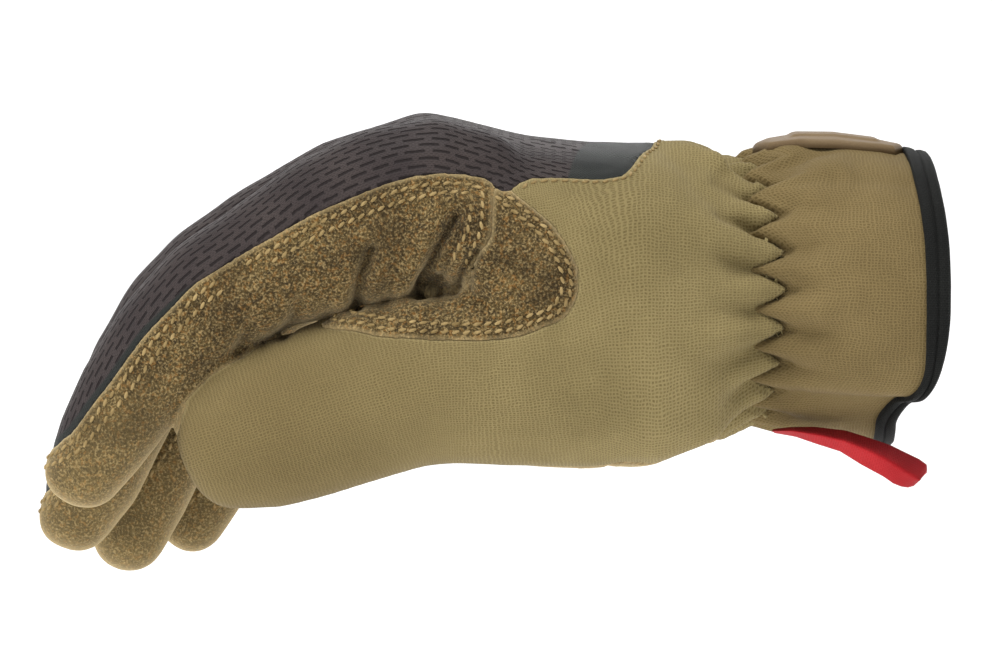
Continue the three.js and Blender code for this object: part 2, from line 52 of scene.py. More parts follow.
# Thickness of the cloth and of the label, and the size of the skin's squares
WALL = 1.3
LABEL_WALL = 0.9
MESH_SIZE = 1.0

# A plug across the wrist closes the skin's inside off. The skin is cut through the plug before it is
# smoothed, and shorter afterwards, where its open end has shrunk.
PLUG = {"x": -25.5, "z": 0.5, "radius": 32.4, "long": 5}
SKIN_END = {"before": -24.5, "after": -31}

# Rounds of smoothing that take the flats out of the skin, and what they shrink it by
SMOOTHING = {"rounds": 30, "regain": 0.68}

# Where the palm's suede laps up round the heel of the hand, on the thumb's side
HEEL = {"x": -79, "long": 16, "rise": 2.6, "side": (4, 12)}

# Grooves that the panels' seams press into the skin: depth, distance from the seam and width
SEAM_GROOVES = [(0.4, 0, 0.9), (0.2, 2, 1.6)]

# Unevenness of the cloth on the hand and on the cuff: height, size and seed of each noise
HAND_WAVES = [(0.28, 17, 11), (0.16, 7, 12)]
CUFF_WAVES = [(0.25, 15, 21), (0.1, 6, 22)]

# How proud each panel of the hand lies where it laps over the next one
LIFT = {"palm_panel": 0.3, "back_panel": 0, "side_panel": 0.35, "thumb_patch": 0.7, "thumb_front": 0.3}

# Gathering seam: a zigzag of teeth round the wrist, and how pointed they are. The wrist's middle lies
# a little above the part's own, and a gap is left between the hand's edge and the cuff's.
ZIGZAGS = 22
SEAM_X = -37.5
SEAM = {"near": 1.1, "far": -0.8, "top": -4.6, "palm": -3}
TOOTH = 3.1
TOOTH_SHARP = 0.985
WRIST_RADIUS = 35
WRIST_Z = 1
SEAM_GAP = 0.1

# Gathers on both sides of the seam. Short ones start at each tooth, long ones run on past them, and
# each fades over a distance from the seam. High up on the thumb's side they lean and are stronger.
GATHERS = {"height": 0.95, "start": 2.2, "fade": (4, 19)}
LONG_GATHERS = {"height": 0.8, "start": (3, 9), "fade": (12, 27)}
HIGH_GATHERS = {"angle": 2.1, "width": 0.65, "lean": 0.02}
SEAM_DIP = {"depth": 1.5, "width": 1.25}

# Hem of the cuff, between which angles it steps back, and the dent there that folds the thumb's side
# over the palm's side
HEM = {"near": 2.4, "far": -1.5, "top": -0.8, "palm": -8.6}
HEM_TURN = (208, 248)
DENT = {"angle": 232, "near": 7, "far": 20, "depth": 3.6, "start": 0.02, "roll": 0.5}

# Sections of the cuff, by their share of the way from the seam to the hem
CUFF_COLUMNS = ["share", "top", "palm", "near", "far"]
CUFF = [
    [0, 29.8, -28.5, -30, 30],
    [0.06, 32.8, -29.1, -30.8, 30.7],
    [0.14, 34.2, -29.8, -31.6, 31.4],
    [0.3, 35.3, -31, -33.4, 32.8],
    [0.5, 35.2, -32, -34.6, 34],
    [0.75, 33.9, -33, -35, 34.6],
    [1, 31.8, -33.4, -34.4, 34],
]
CUFF_SQUARE = 2.15
CUFF_LONG = 41

# How the cuff's edge tucks under the hand behind the gathering seam
TUCK = {"share": 0.08, "depth": 1.7, "reach": 3.4}

# Middle lines of the digits from the wrist: x, y, z and the half height of the digit round the point
DIGITS = {
    "index": [
        [-60, -30, 23, 10.8],
        [-84, -32, 24.6, 11],
        [-103.9, -34.5, 21, 18.2],
        [-116.6, -35, 19.9, 19.9],
        [-133.2, -35, 15, 18],
        [-150.6, -34.6, 6.3, 14.6],
        [-165.5, -34, -2.7, 13.3],
        [-177.4, -33.2, -16.6, 11.8],
        [-187, -32.5, -32.2, 10.3],
        [-195, -32, -47, 8.2],
    ],
    "middle": [
        [-60, -10, 24, 9],
        [-84, -11, 27.6, 9],
        [-103, -11.5, 26.5, 13.9],
        [-117.9, -11.5, 26.7, 15.4],
        [-138.6, -11.5, 17.8, 14.3],
        [-158, -11.4, 6.9, 13.3],
        [-168.5, -11.2, -1.3, 12.7],
        [-176.8, -11, -11.9, 11.9],
        [-184.6, -10.8, -27.5, 11.1],
        [-190.6, -10.5, -41.8, 10.4],
        [-197.5, -10.2, -57, 8.1],
    ],
    "ring": [
        [-60, 10, 23.5, 9],
        [-84, 11, 25.6, 9],
        [-102, 12, 23.2, 13.5],
        [-116.1, 12, 21.8, 14.9],
        [-134.3, 12, 13.8, 13.7],
        [-152.4, 12, 2.1, 12.9],
        [-164.5, 12, -10, 12.1],
        [-172.6, 11.8, -25.1, 11.6],
        [-179.2, 11.4, -42.2, 10.7],
        [-186.5, 10.7, -63, 7.9],
    ],
    "little": [
        [-60, 28, 22, 8],
        [-84, 32, 22.4, 8],
        [-100, 34, 17.5, 11.9],
        [-112.3, 34.5, 14.7, 13.3],
        [-127.7, 34.5, 7.4, 12.3],
        [-142, 34.2, -3.9, 11.5],
        [-151.2, 33.8, -16.2, 10.8],
        [-159.3, 33.2, -30.5, 10.2],
        [-166.8, 32.4, -44.3, 9.2],
        [-173, 31.4, -59, 7.2],
    ],
}
THUMB = [
    [-37, -10, 0, 20],
    [-52, -17, -8, 20],
    [-70.5, -25.5, -13, 22],
    [-84.3, -28.5, -16, 20.8],
    [-100, -31.5, -18, 19.8],
    [-113.7, -32.5, -18.7, 18.2],
    [-126.4, -33, -22, 18.6],
    [-140.1, -33, -26.6, 18.2],
    [-151.8, -32.4, -30.2, 18],
    [-169, -31.4, -36, 15.4],
]

# Creases by their ends and middle in the side view, first those at the crotch of the thumb and along
# the forefinger. Beside each the cloth puffs out by a share of its depth. They start this far towards
# the thumb's side and are full a little further on.
# Each crease's depth also sets painted shade in the cloth's colour.
PUFF = {"share": 0.42, "off": 2.4, "width": 1.4}
CREASES_FROM_Y = 22
CREASES_RISE = 8
CREASE_COLUMNS = ["x1", "z1", "x2", "z2", "x3", "z3", "depth", "width"]
CREASES = [
    [-126.5, 9.9, -128.8, 4.3, -129.9, -2.7, 1.9, 1.5],
    [-107.7, 17.1, -111.7, 9.9, -116.2, 0, 2.5, 1.5],
    [-106.3, 14, -108.8, 8.3, -111, 3.2, 1.5, 1.1],
    [-102.9, 9.5, -105.9, 5.9, -107.7, 0.9, 1.9, 1.2],
    [-101.8, 8.6, -103.8, 5.4, -104.5, 0.9, 1.3, 0.95],
    [-101.8, 7, -97.1, 7.2, -92.8, 5, 0.8, 2],
    [-142.7, -1.6, -143.6, -4.7, -146.3, -9, 0.9, 1.4],
    [-154, -6.3, -154.6, -9, -156.7, -12.6, 0.8, 1.4],
]

# Folds on both sides of the gathering seam, high up on the thumb's side. The gathers and the folds
# end before WRIST_END.
WRIST_FOLDS_FROM_Y = 2
WRIST_END = -75
WRIST_FOLDS = [
    [-40.5, 25, -43, 26.8, -45.9, 28.8, 1.37, 1.3],
    [-40.3, 20.9, -43.9, 22.7, -48.4, 25.9, 1.22, 1.4],
    [-40.1, 14.1, -43.9, 15.5, -48, 17.1, 0.79, 1.5],
    [-40.1, 5.7, -43.4, 7.3, -47.1, 8.5, 0.5, 1.6],
    [-42.1, 28.1, -39.6, 31.1, -38, 32.7, 0.65, 1.1],
    [-40.1, 26.8, -37.6, 29.3, -34.4, 31.8, 0.65, 1.2],
    [-38.9, 24.5, -33, 27.7, -28.5, 29.7, 0.72, 1.3],
    [-36, 22.7, -29.9, 25, -22.2, 26.1, 0.79, 1.5],
    [-22.2, 26.1, -13.6, 25.9, -5.4, 24.7, 0.36, 1.6],
    [-34.4, 17.1, -31, 18.6, -27.6, 19.5, 0.5, 1.4],
    [-33.9, 9.1, -31.2, 9.4, -28.5, 9.4, 0.36, 1.4],
]

# The slit between forefinger and thumb, which gets painted shade and is not pressed in, and the pocket at its
# end, which is pressed in and also gets painted shade
SLIT_SHADE = [[-151.3, -11.4, -143.9, -8.5, -136.9, -6.1, 1.7, 1.6]]
POCKET = {"x": -112.5, "z": 1.6, "depth": 2.4, "width": 3.2}

# Section of the hem's tape: distance along the glove from the hem, and height over the cloth
TAPE = [
    [-4.2, 0.1],
    [-4.2, 1.1],
    [-3.9, 1.45],
    [-2.8, 1.5],
    [-2.0, 1.35],
    [-1.6, 0.85],
    [-1.2, 1.3],
    [-0.4, 1.5],
    [0.5, 1.3],
    [1.15, 0.6],
    [1.3, -0.8],
    [1.1, -2.1],
    [0.4, -2.9],
    [-1.5, -3.1],
    [-4.1, -3.0],
    [-4.2, -1.9],
]

# Where the tape and the cuff's edge curl back round the dent
TAPE_CURL = {"angle": 216, "width": 17, "back": 1.9, "narrower": 0.4}
TAPE_WIDE = 16

# Label and its raised bar, by their share of the cuff's length and their half width in degrees. Both
# have rounded rims.
LABEL = {"start": 0.05, "end": 0.9, "half": 20, "height": 1.8, "lift": 0.1, "corner": 0.16, "rim": 1.3}
LABEL_BAR = {"start": 0.24, "end": 0.72, "half": 12, "height": 0.45, "rim": 0.04, "side_rim": 1.6}
LABEL_SIZE = (31, 29)

# Pull tab: the fold's ridge and the tab's upper and lower edges, in the side view
TAB_COLUMNS = ["ridge_x", "ridge_z", "upper_x", "upper_z", "lower_x", "lower_z"]
TAB = [
    [-36.1, -31, -35.8, -30.6, -35.6, -31.5],
    [-31.5, -30.9, -31.7, -30.1, -30.6, -32.4],
    [-25.2, -31.9, -26.3, -30, -25.4, -34.2],
    [-19.5, -33.2, -19.2, -30.8, -20.4, -35.8],
    [-14.8, -35.1, -14, -32.4, -15.6, -38.8],
    [-10, -37.5, -9, -34.1, -10.6, -41.5],
    [-6.4, -39.8, -4.9, -36.1, -8.3, -43.1],
    [-4.6, -40.9, -2.4, -37.3, -6.5, -43.8],
    [-3.2, -41.7, -0.6, -38.6, -5, -44],
    [-2.4, -42.1, -0.5, -39.9, -3.6, -43.6],
]
TAB_Y = -21
TAB_DEPTH = 6
TAB_THICK = 1.3
TAB_SIZE = (24, 40)

# Margin of plain cloth on the back, beside the forefinger from one length along it to the next, and at
# the wrist, where it slants
MARGIN = {"finger": 1.9, "along": (156, 182), "wrist": 74, "slant": 0.22}

# Where the weave of the back and of the side starts to follow the fingers and the thumb
BACK_WEAVE = {"start_x": -100, "turn": (-114, -94)}
SIDE_WEAVE = {"start_x": -62, "turn": (-86, -62)}

# One stitch of thread, in millimetres and degrees
STITCH = {"length": 2.1, "pitch": 2.4, "wide": 0.85, "high": 0.66, "slant": 18, "proud": 0.12}

# The palm's rows of stitches leave out the slit between forefinger and thumb
SLIT = {"from_x": -160, "near_y": -20, "below_z": 7}

# Rows of stitches: piece, the panel that carries the row, the panels whose seam it follows, its
# distance from that seam, and where along the glove it runs
ROW_COLUMNS = ["piece", "on", "seam_with", "inset", "from_x", "to_x"]
ROWS = [
    ["suede_stitches", "palm_panel", ["back_panel", "thumb_patch"], 1.9, -300, -72],
    ["suede_stitches", "palm_panel", ["back_panel", "thumb_patch"], 4.2, -300, -72],
    ["suede_stitches", "thumb_patch", ["side_panel"], 1.4, -300, 0],
    ["suede_stitches", "thumb_patch", ["side_panel"], 3.2, -300, 0],
    ["knit_stitches", "side_panel", ["back_panel"], 1.0, -98, -50],
]


def smoothstep(value, low, high):
    t = np.clip((value - low) / (high - low), 0, 1)
    return t * t * (3 - 2 * t)


def power(value, exponent):
    return np.sign(value) * np.abs(value) ** exponent


def bump_at(value, width):
    return np.exp(-((value / width) ** 2))


def rows_of(columns, table):
    return [dict(zip(columns, row)) for row in table]


def around_wrist(ends, angle):
    """A length round the wrist from its values at the thumb's side, the far side, the top and the palm."""
    c, s = np.cos(angle), np.sin(angle)
    across = np.where(c < 0, ends["near"], ends["far"])
    upright = np.where(s > 0, ends["top"], ends["palm"])
    return c * c * across + s * s * upright


def hem_x(angle):
    """Where the hem lies along the glove. It steps back at the dent."""
    turn = np.degrees(angle) % 360
    stepped = HEM["near"] + (HEM["palm"] - HEM["near"]) * smoothstep(turn, *HEM_TURN)
    return np.where((turn > 180) & (turn < 270), stepped, around_wrist(HEM, angle))


def zigzag(angle):
    """The seam's zigzag, from -1 to 1."""
    wave = np.sin(angle * ZIGZAGS + math.pi / 2)
    return np.arcsin(wave * TOOTH_SHARP) / math.asin(TOOTH_SHARP)


def soft_noise(points, size, seed):
    """Smooth noise from -1 to 1 at points in millimetres."""
    shift = Vector((seed * 7.3, seed * 3.1, seed * 5.7))
    return np.array([noise.noise(Vector(p) / size + shift) for p in points])


def uneven(points, waves):
    return sum(high * soft_noise(points, size, seed) for high, size, seed in waves)


# ---------------------------------------------------------------- meshes


def coordinates(bm):
    return np.array([v.co[:] for v in bm.verts])


def normals(bm):
    bm.normal_update()
    return np.array([v.normal[:] for v in bm.verts])


def move_to(bm, points):
    for v, p in zip(bm.verts, points):
        v.co = p


def note(bm, name, values):
    """Keeps a number or a vector for each vertex under a name."""
    kinds = bm.verts.layers.float if np.ndim(values) == 1 else bm.verts.layers.float_vector
    layer = kinds.get(name) or kinds.new(name)
    for v, value in zip(bm.verts, values):
        v[layer] = value


def noted(bm, name):
    """The numbers that were kept under a name."""
    layer = bm.verts.layers.float[name]
    return np.array([v[layer] for v in bm.verts])


def smoothed_over(bm, values, rounds):
    """Each vertex's value drawn towards its neighbours'."""
    bm.verts.index_update()
    ends = np.array([[v.index for v in e.verts] for e in bm.edges])
    both = np.concatenate([ends, ends[:, ::-1]])
    count = np.bincount(both[:, 0], minlength=len(values))
    for _ in range(rounds):
        total = np.bincount(both[:, 0], weights=values[both[:, 1]], minlength=len(values))
        values = 0.5 * values + 0.5 * total / np.maximum(count, 1)
    return values


def smooth(bm, rounds=1):
    """Draws each vertex halfway to its neighbours."""
    axes = {"use_axis_x": True, "use_axis_y": True, "use_axis_z": True}
    for _ in range(rounds):
        bmesh.ops.smooth_vert(bm, verts=bm.verts, factor=0.5, **axes)


def copy_of_nodes(names):
    """Copies of CAD nodes as one mesh, in millimetres."""
    bm = bmesh.new()
    for name in names:
        bm.from_mesh(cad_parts[name].data)
    bm.transform(Matrix.Scale(1 / MM, 4))
    bmesh.ops.remove_doubles(bm, verts=bm.verts, dist=1e-4)
    return bm


def object_from(bm, name):
    mesh = bpy.data.meshes.new(name)
    bm.to_mesh(mesh)
    bm.free()
    obj = bpy.data.objects.new(name, mesh)
    bpy.context.scene.collection.objects.link(obj)
    return obj


def voxel_skin(bm, size):
    """The mesh remade of even squares."""
    obj = object_from(bm, "skin_source")
    remesh = obj.modifiers.new("remesh", "REMESH")
    remesh.mode = "VOXEL"
    remesh.voxel_size = size
    graph = bpy.context.evaluated_depsgraph_get()
    mesh = bpy.data.meshes.new_from_object(obj.evaluated_get(graph))
    skin = bmesh.new()
    skin.from_mesh(mesh)
    bpy.data.objects.remove(obj)
    bpy.data.meshes.remove(mesh)
    return skin


def keep_island_of(bm, seed):
    """Deletes all that isn't joined to the seed vertex."""
    found, edge = {seed}, [seed]
    while edge:
        edge = [
            other
            for v in edge
            for other in (e.other_vert(v) for e in v.link_edges)
            if other not in found and not found.add(other)
        ]
    bmesh.ops.delete(bm, geom=[v for v in bm.verts if v not in found], context="VERTS")


def finished(bm, name, material, replaces=(), wall=0):
    """A piece of the glove as an object in metres, riding on the part's body."""
    bm.transform(Matrix.Scale(MM, 4))
    for face in bm.faces:
        face.smooth = True
    obj = object_from(bm, name)
    obj.data.materials.append(material)
    if wall:
        solidify = obj.modifiers.new("wall", "SOLIDIFY")
        solidify.thickness = wall * MM
        solidify.offset = -1
    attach(obj, "root")
    if replaces:
        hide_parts(*replaces)
    return obj


# ---------------------------------------------------------------- skin of the hand


def cut_off(bm, x):
    """Deletes all that lies past a plane across the wrist."""
    geometry = bm.verts[:] + bm.edges[:] + bm.faces[:]
    bmesh.ops.bisect_plane(bm, geom=geometry, plane_co=(x, 0, 0), plane_no=(1, 0, 0), clear_outer=True)


def hand_skin():
    """The hand's outer face, closed over the seams between its panels."""
    bm = copy_of_nodes(HAND_NODES + ["cuff"])
    bmesh.ops.create_cone(
        bm,
        cap_ends=True,
        segments=64,
        radius1=PLUG["radius"],
        radius2=PLUG["radius"],
        depth=PLUG["long"],
        matrix=Matrix.Translation((PLUG["x"], 0, PLUG["z"])) @ Matrix.Rotation(math.pi / 2, 4, "Y"),
    )
    skin = voxel_skin(bm, MESH_SIZE)
    keep_island_of(skin, min(skin.verts, key=lambda v: v.co.x))
    cut_off(skin, SKIN_END["before"])
    smooth(skin, SMOOTHING["rounds"])
    move_to(skin, coordinates(skin) + SMOOTHING["regain"] * normals(skin))
    cut_off(skin, SKIN_END["after"])
    return skin


def distances(skin, points):
    """How far each point lies from each of the hand's CAD panels."""
    far = {}
    for name in HAND_NODES:
        node = copy_of_nodes([name])
        tree = BVHTree.FromBMesh(node)
        straight = np.array([tree.find_nearest(p)[3] for p in points])
        far[name] = smoothed_over(skin, straight, 5)
        node.free()
    low_rim = bump_at(points[:, 0] - HEEL["x"], HEEL["long"]) * smoothstep(-points[:, 1], *HEEL["side"])
    far["palm_panel"] = far["palm_panel"] - HEEL["rise"] * low_rim
    return far


def gathers(points, side):
    """How far the cloth stands out near the zigzag seam. side is -1 on the hand and 1 on the cuff."""
    angle = np.arctan2(points[:, 2] - WRIST_Z, points[:, 1])
    seam = SEAM_X + around_wrist(SEAM, angle) + TOOTH * zigzag(angle)
    away = np.maximum(side * (points[:, 0] - seam), 0)
    mean = np.maximum(side * (points[:, 0] - SEAM_X - around_wrist(SEAM, angle)), 0)
    ring = np.stack([np.cos(angle) * 9, np.sin(angle) * 9, mean * 0.05], 1)
    wander = soft_noise(ring, 5, 1 + side)
    high_up = bump_at(np.abs(angle) - HIGH_GATHERS["angle"], HIGH_GATHERS["width"]) * (angle > 0)
    strong = 0.85 + 0.6 * soft_noise(ring, 3.2, 4 + side) + 0.3 * high_up
    leaning = angle + HIGH_GATHERS["lean"] * high_up * mean
    ridge = -side * np.cos(leaning * ZIGZAGS + 1.1 * wander * smoothstep(mean, 2, 14))
    height = GATHERS["height"] * strong * ridge * smoothstep(away, 0, GATHERS["start"])
    height *= 1 - smoothstep(mean, *GATHERS["fade"])
    long_folds = -side * np.cos(leaning * ZIGZAGS / 2 + 2.5 * wander)
    long_folds = LONG_GATHERS["height"] * (1 + high_up) * long_folds
    long_folds = long_folds * smoothstep(mean, *LONG_GATHERS["start"])
    height += long_folds * (1 - smoothstep(mean, *LONG_GATHERS["fade"]))
    return height - SEAM_DIP["depth"] * bump_at(away, SEAM_DIP["width"])


def crease_height(points, facing, table, from_y):
    """Creases on the thumb's side: the height that they give, and how deep each point lies in one."""
    x, z = points[:, 0], points[:, 2]
    depth, puff = np.zeros(len(points)), np.zeros(len(points))
    for crease in rows_of(CREASE_COLUMNS, table):
        off = np.full(len(points), 99.0)
        for a, b in (("1", "2"), ("2", "3")):
            start = np.array([crease["x" + a], crease["z" + a]])
            way = np.array([crease["x" + b], crease["z" + b]]) - start
            share = ((x - start[0]) * way[0] + (z - start[1]) * way[1]) / (way @ way)
            near = np.clip(share, 0, 1)
            off = np.minimum(off, np.hypot(x - start[0] - near * way[0], z - start[1] - near * way[1]))
        width = crease["width"]
        beside = bump_at(off - PUFF["off"] * width, PUFF["width"] * width)
        depth = np.maximum(depth, crease["depth"] * bump_at(off, width))
        puff = np.maximum(puff, PUFF["share"] * crease["depth"] * beside)
    on_side = smoothstep(-points[:, 1], from_y, from_y + CREASES_RISE)
    on_side = on_side * smoothstep(-facing[:, 1], -0.2, 0.4)
    return (puff - depth) * on_side, depth * on_side


def shape_skin(skin):
    """Presses the folds, gathers and seams into the skin, notes how far each seam is, and notes painted shade
    for the folds, the slit and the pocket.
    """
    points, out = coordinates(skin), normals(skin)
    far = distances(skin, points)
    height = np.zeros(len(points))
    near_wrist = points[:, 0] > WRIST_END
    height[near_wrist] += gathers(points[near_wrist], -1)
    creased, painted_fold_shade = crease_height(points, out, CREASES, CREASES_FROM_Y)
    folded, wrist_fold_shade = crease_height(
        points[near_wrist], out[near_wrist], WRIST_FOLDS, WRIST_FOLDS_FROM_Y
    )
    off = np.hypot(points[:, 0] - POCKET["x"], points[:, 2] - POCKET["z"])
    on_side = smoothstep(-points[:, 1], CREASES_FROM_Y, CREASES_FROM_Y + CREASES_RISE)
    pocket = POCKET["depth"] * bump_at(off, POCKET["width"]) * on_side
    height += creased - pocket
    height[near_wrist] += folded
    _, slit_painted_shade = crease_height(points, out, SLIT_SHADE, CREASES_FROM_Y)
    painted_fold_shade = np.maximum(painted_fold_shade, slit_painted_shade)
    painted_fold_shade[near_wrist] += wrist_fold_shade
    # Painted shade: how deep the creases, the slit and the pocket lie, for darkening the cloth's colour
    # there.
    note(skin, "painted_fold_shade", np.clip(np.maximum(painted_fold_shade, pocket) / 3, 0, 1))
    height += uneven(points, HAND_WAVES)
    ordered = np.sort(np.stack([far[name] for name in HAND_NODES]), axis=0)
    to_seam = ordered[1] - ordered[0]
    height -= sum(deep * bump_at(to_seam - off, width) for deep, off, width in SEAM_GROOVES)
    move_to(skin, points + height[:, None] * out)
    for name in HAND_NODES:
        note(skin, "to_" + name, far[name])


def cut_where(bm, value, snap=0.12):
    """Cuts the faces along the line where value, a function of a vertex, is nought."""
    on_line = set()
    for v in bm.verts:
        v.tag = abs(value(v)) < snap
        if v.tag:
            on_line.add(v)
    for edge in bm.edges[:]:
        a, b = edge.verts
        if a.tag or b.tag:
            continue
        fa, fb = value(a), value(b)
        if fa * fb < 0:
            _, made = bmesh.utils.edge_split(edge, a, fa / (fa - fb))
            made.tag = True
            on_line.add(made)
    bmesh.ops.connect_verts(bm, verts=list(on_line))


def past_seam(v):
    """How far a vertex lies past the gathering seam."""
    angle = math.atan2(v.co.z - WRIST_Z, v.co.y)
    return v.co.x - SEAM_X - float(around_wrist(SEAM, angle)) - TOOTH * float(zigzag(angle)) + SEAM_GAP


def panel_numbers(skin, layers, crumb=150):
    """Each face's panel. A crumb, a patch of fewer faces than that, goes to the panel round it."""
    skin.faces.ensure_lookup_table()
    skin.faces.index_update()
    numbers = [
        min(range(len(layers)), key=lambda n: sum(v[layers[n]] for v in face.verts)) for face in skin.faces
    ]
    for _ in range(2):
        seen = [False] * len(numbers)
        for start in range(len(numbers)):
            if seen[start]:
                continue
            own, patch, edge, beside = numbers[start], [start], [start], []
            seen[start] = True
            while edge:
                face = skin.faces[edge.pop()]
                for other in (f.index for e in face.edges for f in e.link_faces):
                    if numbers[other] != own:
                        beside.append(numbers[other])
                    elif not seen[other]:
                        seen[other] = True
                        patch.append(other)
                        edge.append(other)
            if len(patch) < crumb and beside:
                for index in patch:
                    numbers[index] = max(set(beside), key=beside.count)
    return numbers


def cut_panels(skin):
    """The skin cut along its seams, as one mesh for each panel."""
    bmesh.ops.triangulate(skin, faces=skin.faces)
    layers = {name: skin.verts.layers.float["to_" + name] for name in HAND_NODES}

    def between(name, others):
        return lambda v: v[layers[name]] - min(v[layers[other]] for other in others)

    cut_where(skin, past_seam)
    beyond = [f for f in skin.faces if sum(past_seam(v) for v in f.verts) > 0]
    bmesh.ops.delete(skin, geom=beyond, context="FACES")
    for v in skin.verts:  # corners that the cut left past the seam
        v.co.x -= max(past_seam(v), 0)
    cut_where(skin, between("back_panel", ["palm_panel", "side_panel", "thumb_patch", "thumb_front"]))
    cut_where(skin, between("thumb_patch", ["palm_panel", "side_panel", "thumb_front"]))
    cut_where(skin, between("thumb_front", ["palm_panel", "side_panel"]))
    cut_where(skin, between("palm_panel", ["side_panel"]))
    numbers = panel_numbers(skin, list(layers.values()))
    panels = {}
    for number, name in enumerate(HAND_NODES):
        panel = skin.copy()
        panel.faces.ensure_lookup_table()
        rest = [f for f, own in zip(panel.faces, numbers) if own != number]
        bmesh.ops.delete(panel, geom=rest, context="FACES")
        far = {other: noted(panel, "to_" + other) for other in HAND_NODES}
        edge = np.minimum.reduce([far[other] for other in HAND_NODES if other != name]) - far[name]
        proud = LIFT[name] * (0.6 + 0.4 * smoothstep(edge, 0, 0.9))
        move_to(panel, coordinates(panel) + proud[:, None] * normals(panel))
        note(panel, "edge", np.maximum(edge, 0))
        panels[name] = panel
    return panels


# ---------------------------------------------------------------- lie of the cloth


def smooth_line(stations, steps=14):
    """Points along a smooth curve through the stations, with their sizes."""
    knots = np.array(stations, float)
    knots = np.vstack([2 * knots[0] - knots[1], knots, 2 * knots[-1] - knots[-2]])
    t = np.linspace(0, 1, steps, endpoint=False)[:, None]
    parts = [
        0.5 * (2 * b + (c - a) * t + (2 * a - 5 * b + 4 * c - d) * t**2 + (3 * b - a - 3 * c + d) * t**3)
        for a, b, c, d in zip(knots, knots[1:], knots[2:], knots[3:])
    ]
    return np.vstack(parts + [knots[-2:-1]])


def along_line(points, line, start_x):
    """For each point: its length along a line, counted from start_x, its height over the line in the
    side view, how far it lies beside the line, the line's half height there, and how near it is."""
    flat = line[:, [0, 2]]
    tangent = np.gradient(flat, axis=0)
    tangent /= np.linalg.norm(tangent, axis=1)[:, None]
    length = np.concatenate([[0], np.cumsum(np.linalg.norm(np.diff(flat, axis=0), axis=1))])
    length -= np.interp(-start_x, -line[:, 0], length) + start_x
    best = np.full(len(points), 1e9)
    nearest = np.zeros(len(points), int)
    for i, station in enumerate(line):
        off = ((points - station[:3]) ** 2).sum(1)
        closer = off < best
        best[closer], nearest[closer] = off[closer], i
    away = points[:, [0, 2]] - flat[nearest]
    ahead = (away * tangent[nearest]).sum(1)
    over = away[:, 1] * -tangent[nearest][:, 0] + away[:, 0] * tangent[nearest][:, 1]
    return length[nearest] + ahead, over, points[:, 1] - line[nearest, 1], line[nearest, 3], best


def back_weave(panel):
    """Lays the back's mesh cloth along the fingers and down their sides."""
    points = coordinates(panel)
    choices = [along_line(points, smooth_line(line), BACK_WEAVE["start_x"]) for line in DIGITS.values()]
    nearest = np.argmin([choice[4] for choice in choices], axis=0)
    u, over, beside, high = (np.choose(nearest, [choice[i] for choice in choices]) for i in range(4))
    straight = smoothstep(points[:, 0], *BACK_WEAVE["turn"])
    u = (1 - straight) * u - straight * points[:, 0]
    v = points[:, 1] + np.sign(beside) * np.maximum(high - over, 0) * smoothstep(np.abs(beside), 0, 3)
    note(panel, "weave", np.stack([u, v, np.zeros(len(u))], 1))
    finger_margin = MARGIN["finger"] * smoothstep(u, *MARGIN["along"]) - noted(panel, "to_palm_panel")
    wrist_margin = points[:, 0] + MARGIN["wrist"] + MARGIN["slant"] * np.abs(points[:, 1])
    note(panel, "margin", np.maximum(finger_margin, wrist_margin))


def side_weave(panel):
    """Lays the side's knit round the wrist and then along the thumb."""
    points = coordinates(panel)
    u, over, beside, _, _ = along_line(points, smooth_line(THUMB), SIDE_WEAVE["start_x"])
    angle = np.arctan2(points[:, 2] - WRIST_Z, points[:, 1])
    round_wrist = (math.pi - angle + math.pi) % (2 * math.pi) - math.pi
    at_wrist = smoothstep(points[:, 0], *SIDE_WEAVE["turn"])
    depth = np.clip(beside + 16, 0, 25) * (points[:, 1] < 0)
    v = over + np.sign(over) * 0.7 * depth * smoothstep(np.abs(over), 3, 14)
    v = (1 - at_wrist) * v + at_wrist * (WRIST_RADIUS * round_wrist + 12)
    u = (1 - at_wrist) * u - at_wrist * points[:, 0]
    note(panel, "weave", np.stack([u, v, np.zeros(len(u))], 1))


# ---------------------------------------------------------------- cuff


def cuff_row(share):
    """The cuff's section at a share of its length."""
    columns = list(zip(*CUFF))
    return {name: np.interp(share, columns[0], values) for name, values in zip(CUFF_COLUMNS, columns)}


def cuff_point(share, angle, out):
    """A point of the cuff by its share of the way from the seam to the hem, its angle and its height."""
    row = cuff_row(np.clip(share, 0, 1))
    c, s = np.cos(angle), np.sin(angle)
    turn = np.degrees(angle) % 360 - DENT["angle"]
    dent = DENT["depth"] * bump_at(turn, np.where(turn < 0, DENT["near"], DENT["far"]))
    dent -= DENT["roll"] * bump_at(turn + 2 * DENT["near"], DENT["near"])
    out = out - dent * smoothstep(share, DENT["start"], 0.8)
    mid = 1 - share
    depth = np.where(s > 0, row["top"] - mid, mid - row["palm"])
    half = (row["far"] - row["near"]) / 2
    seam = SEAM_X + around_wrist(SEAM, angle)
    x = seam + share * (hem_x(angle) - seam)
    y = (row["far"] + row["near"]) / 2 + (half + out) * power(c, 2 / CUFF_SQUARE)
    z = mid + (depth + out) * power(s, 2 / CUFF_SQUARE)
    return np.stack([x, y, z], -1)


def sheet(across, along, place, scale):
    """A sheet from a grid: place gives a point for each share one way and the other, and scale is the
    cloth's size in millimetres for its weave."""
    bm = bmesh.new()
    bmesh.ops.create_grid(bm, x_segments=across, y_segments=along, size=0.5)
    grid = coordinates(bm) + (0.5, 0.5, 0)
    layer = bm.loops.layers.uv.new("weave")
    for face in bm.faces:
        for loop in face.loops:
            loop[layer].uv = [(c + 0.5) * k for c, k in zip(loop.vert.co[:2], scale)]
    move_to(bm, place(grid[:, 0], grid[:, 1]))
    bmesh.ops.remove_doubles(bm, verts=bm.verts, dist=1e-3)
    bmesh.ops.recalc_face_normals(bm, faces=bm.faces)
    return bm


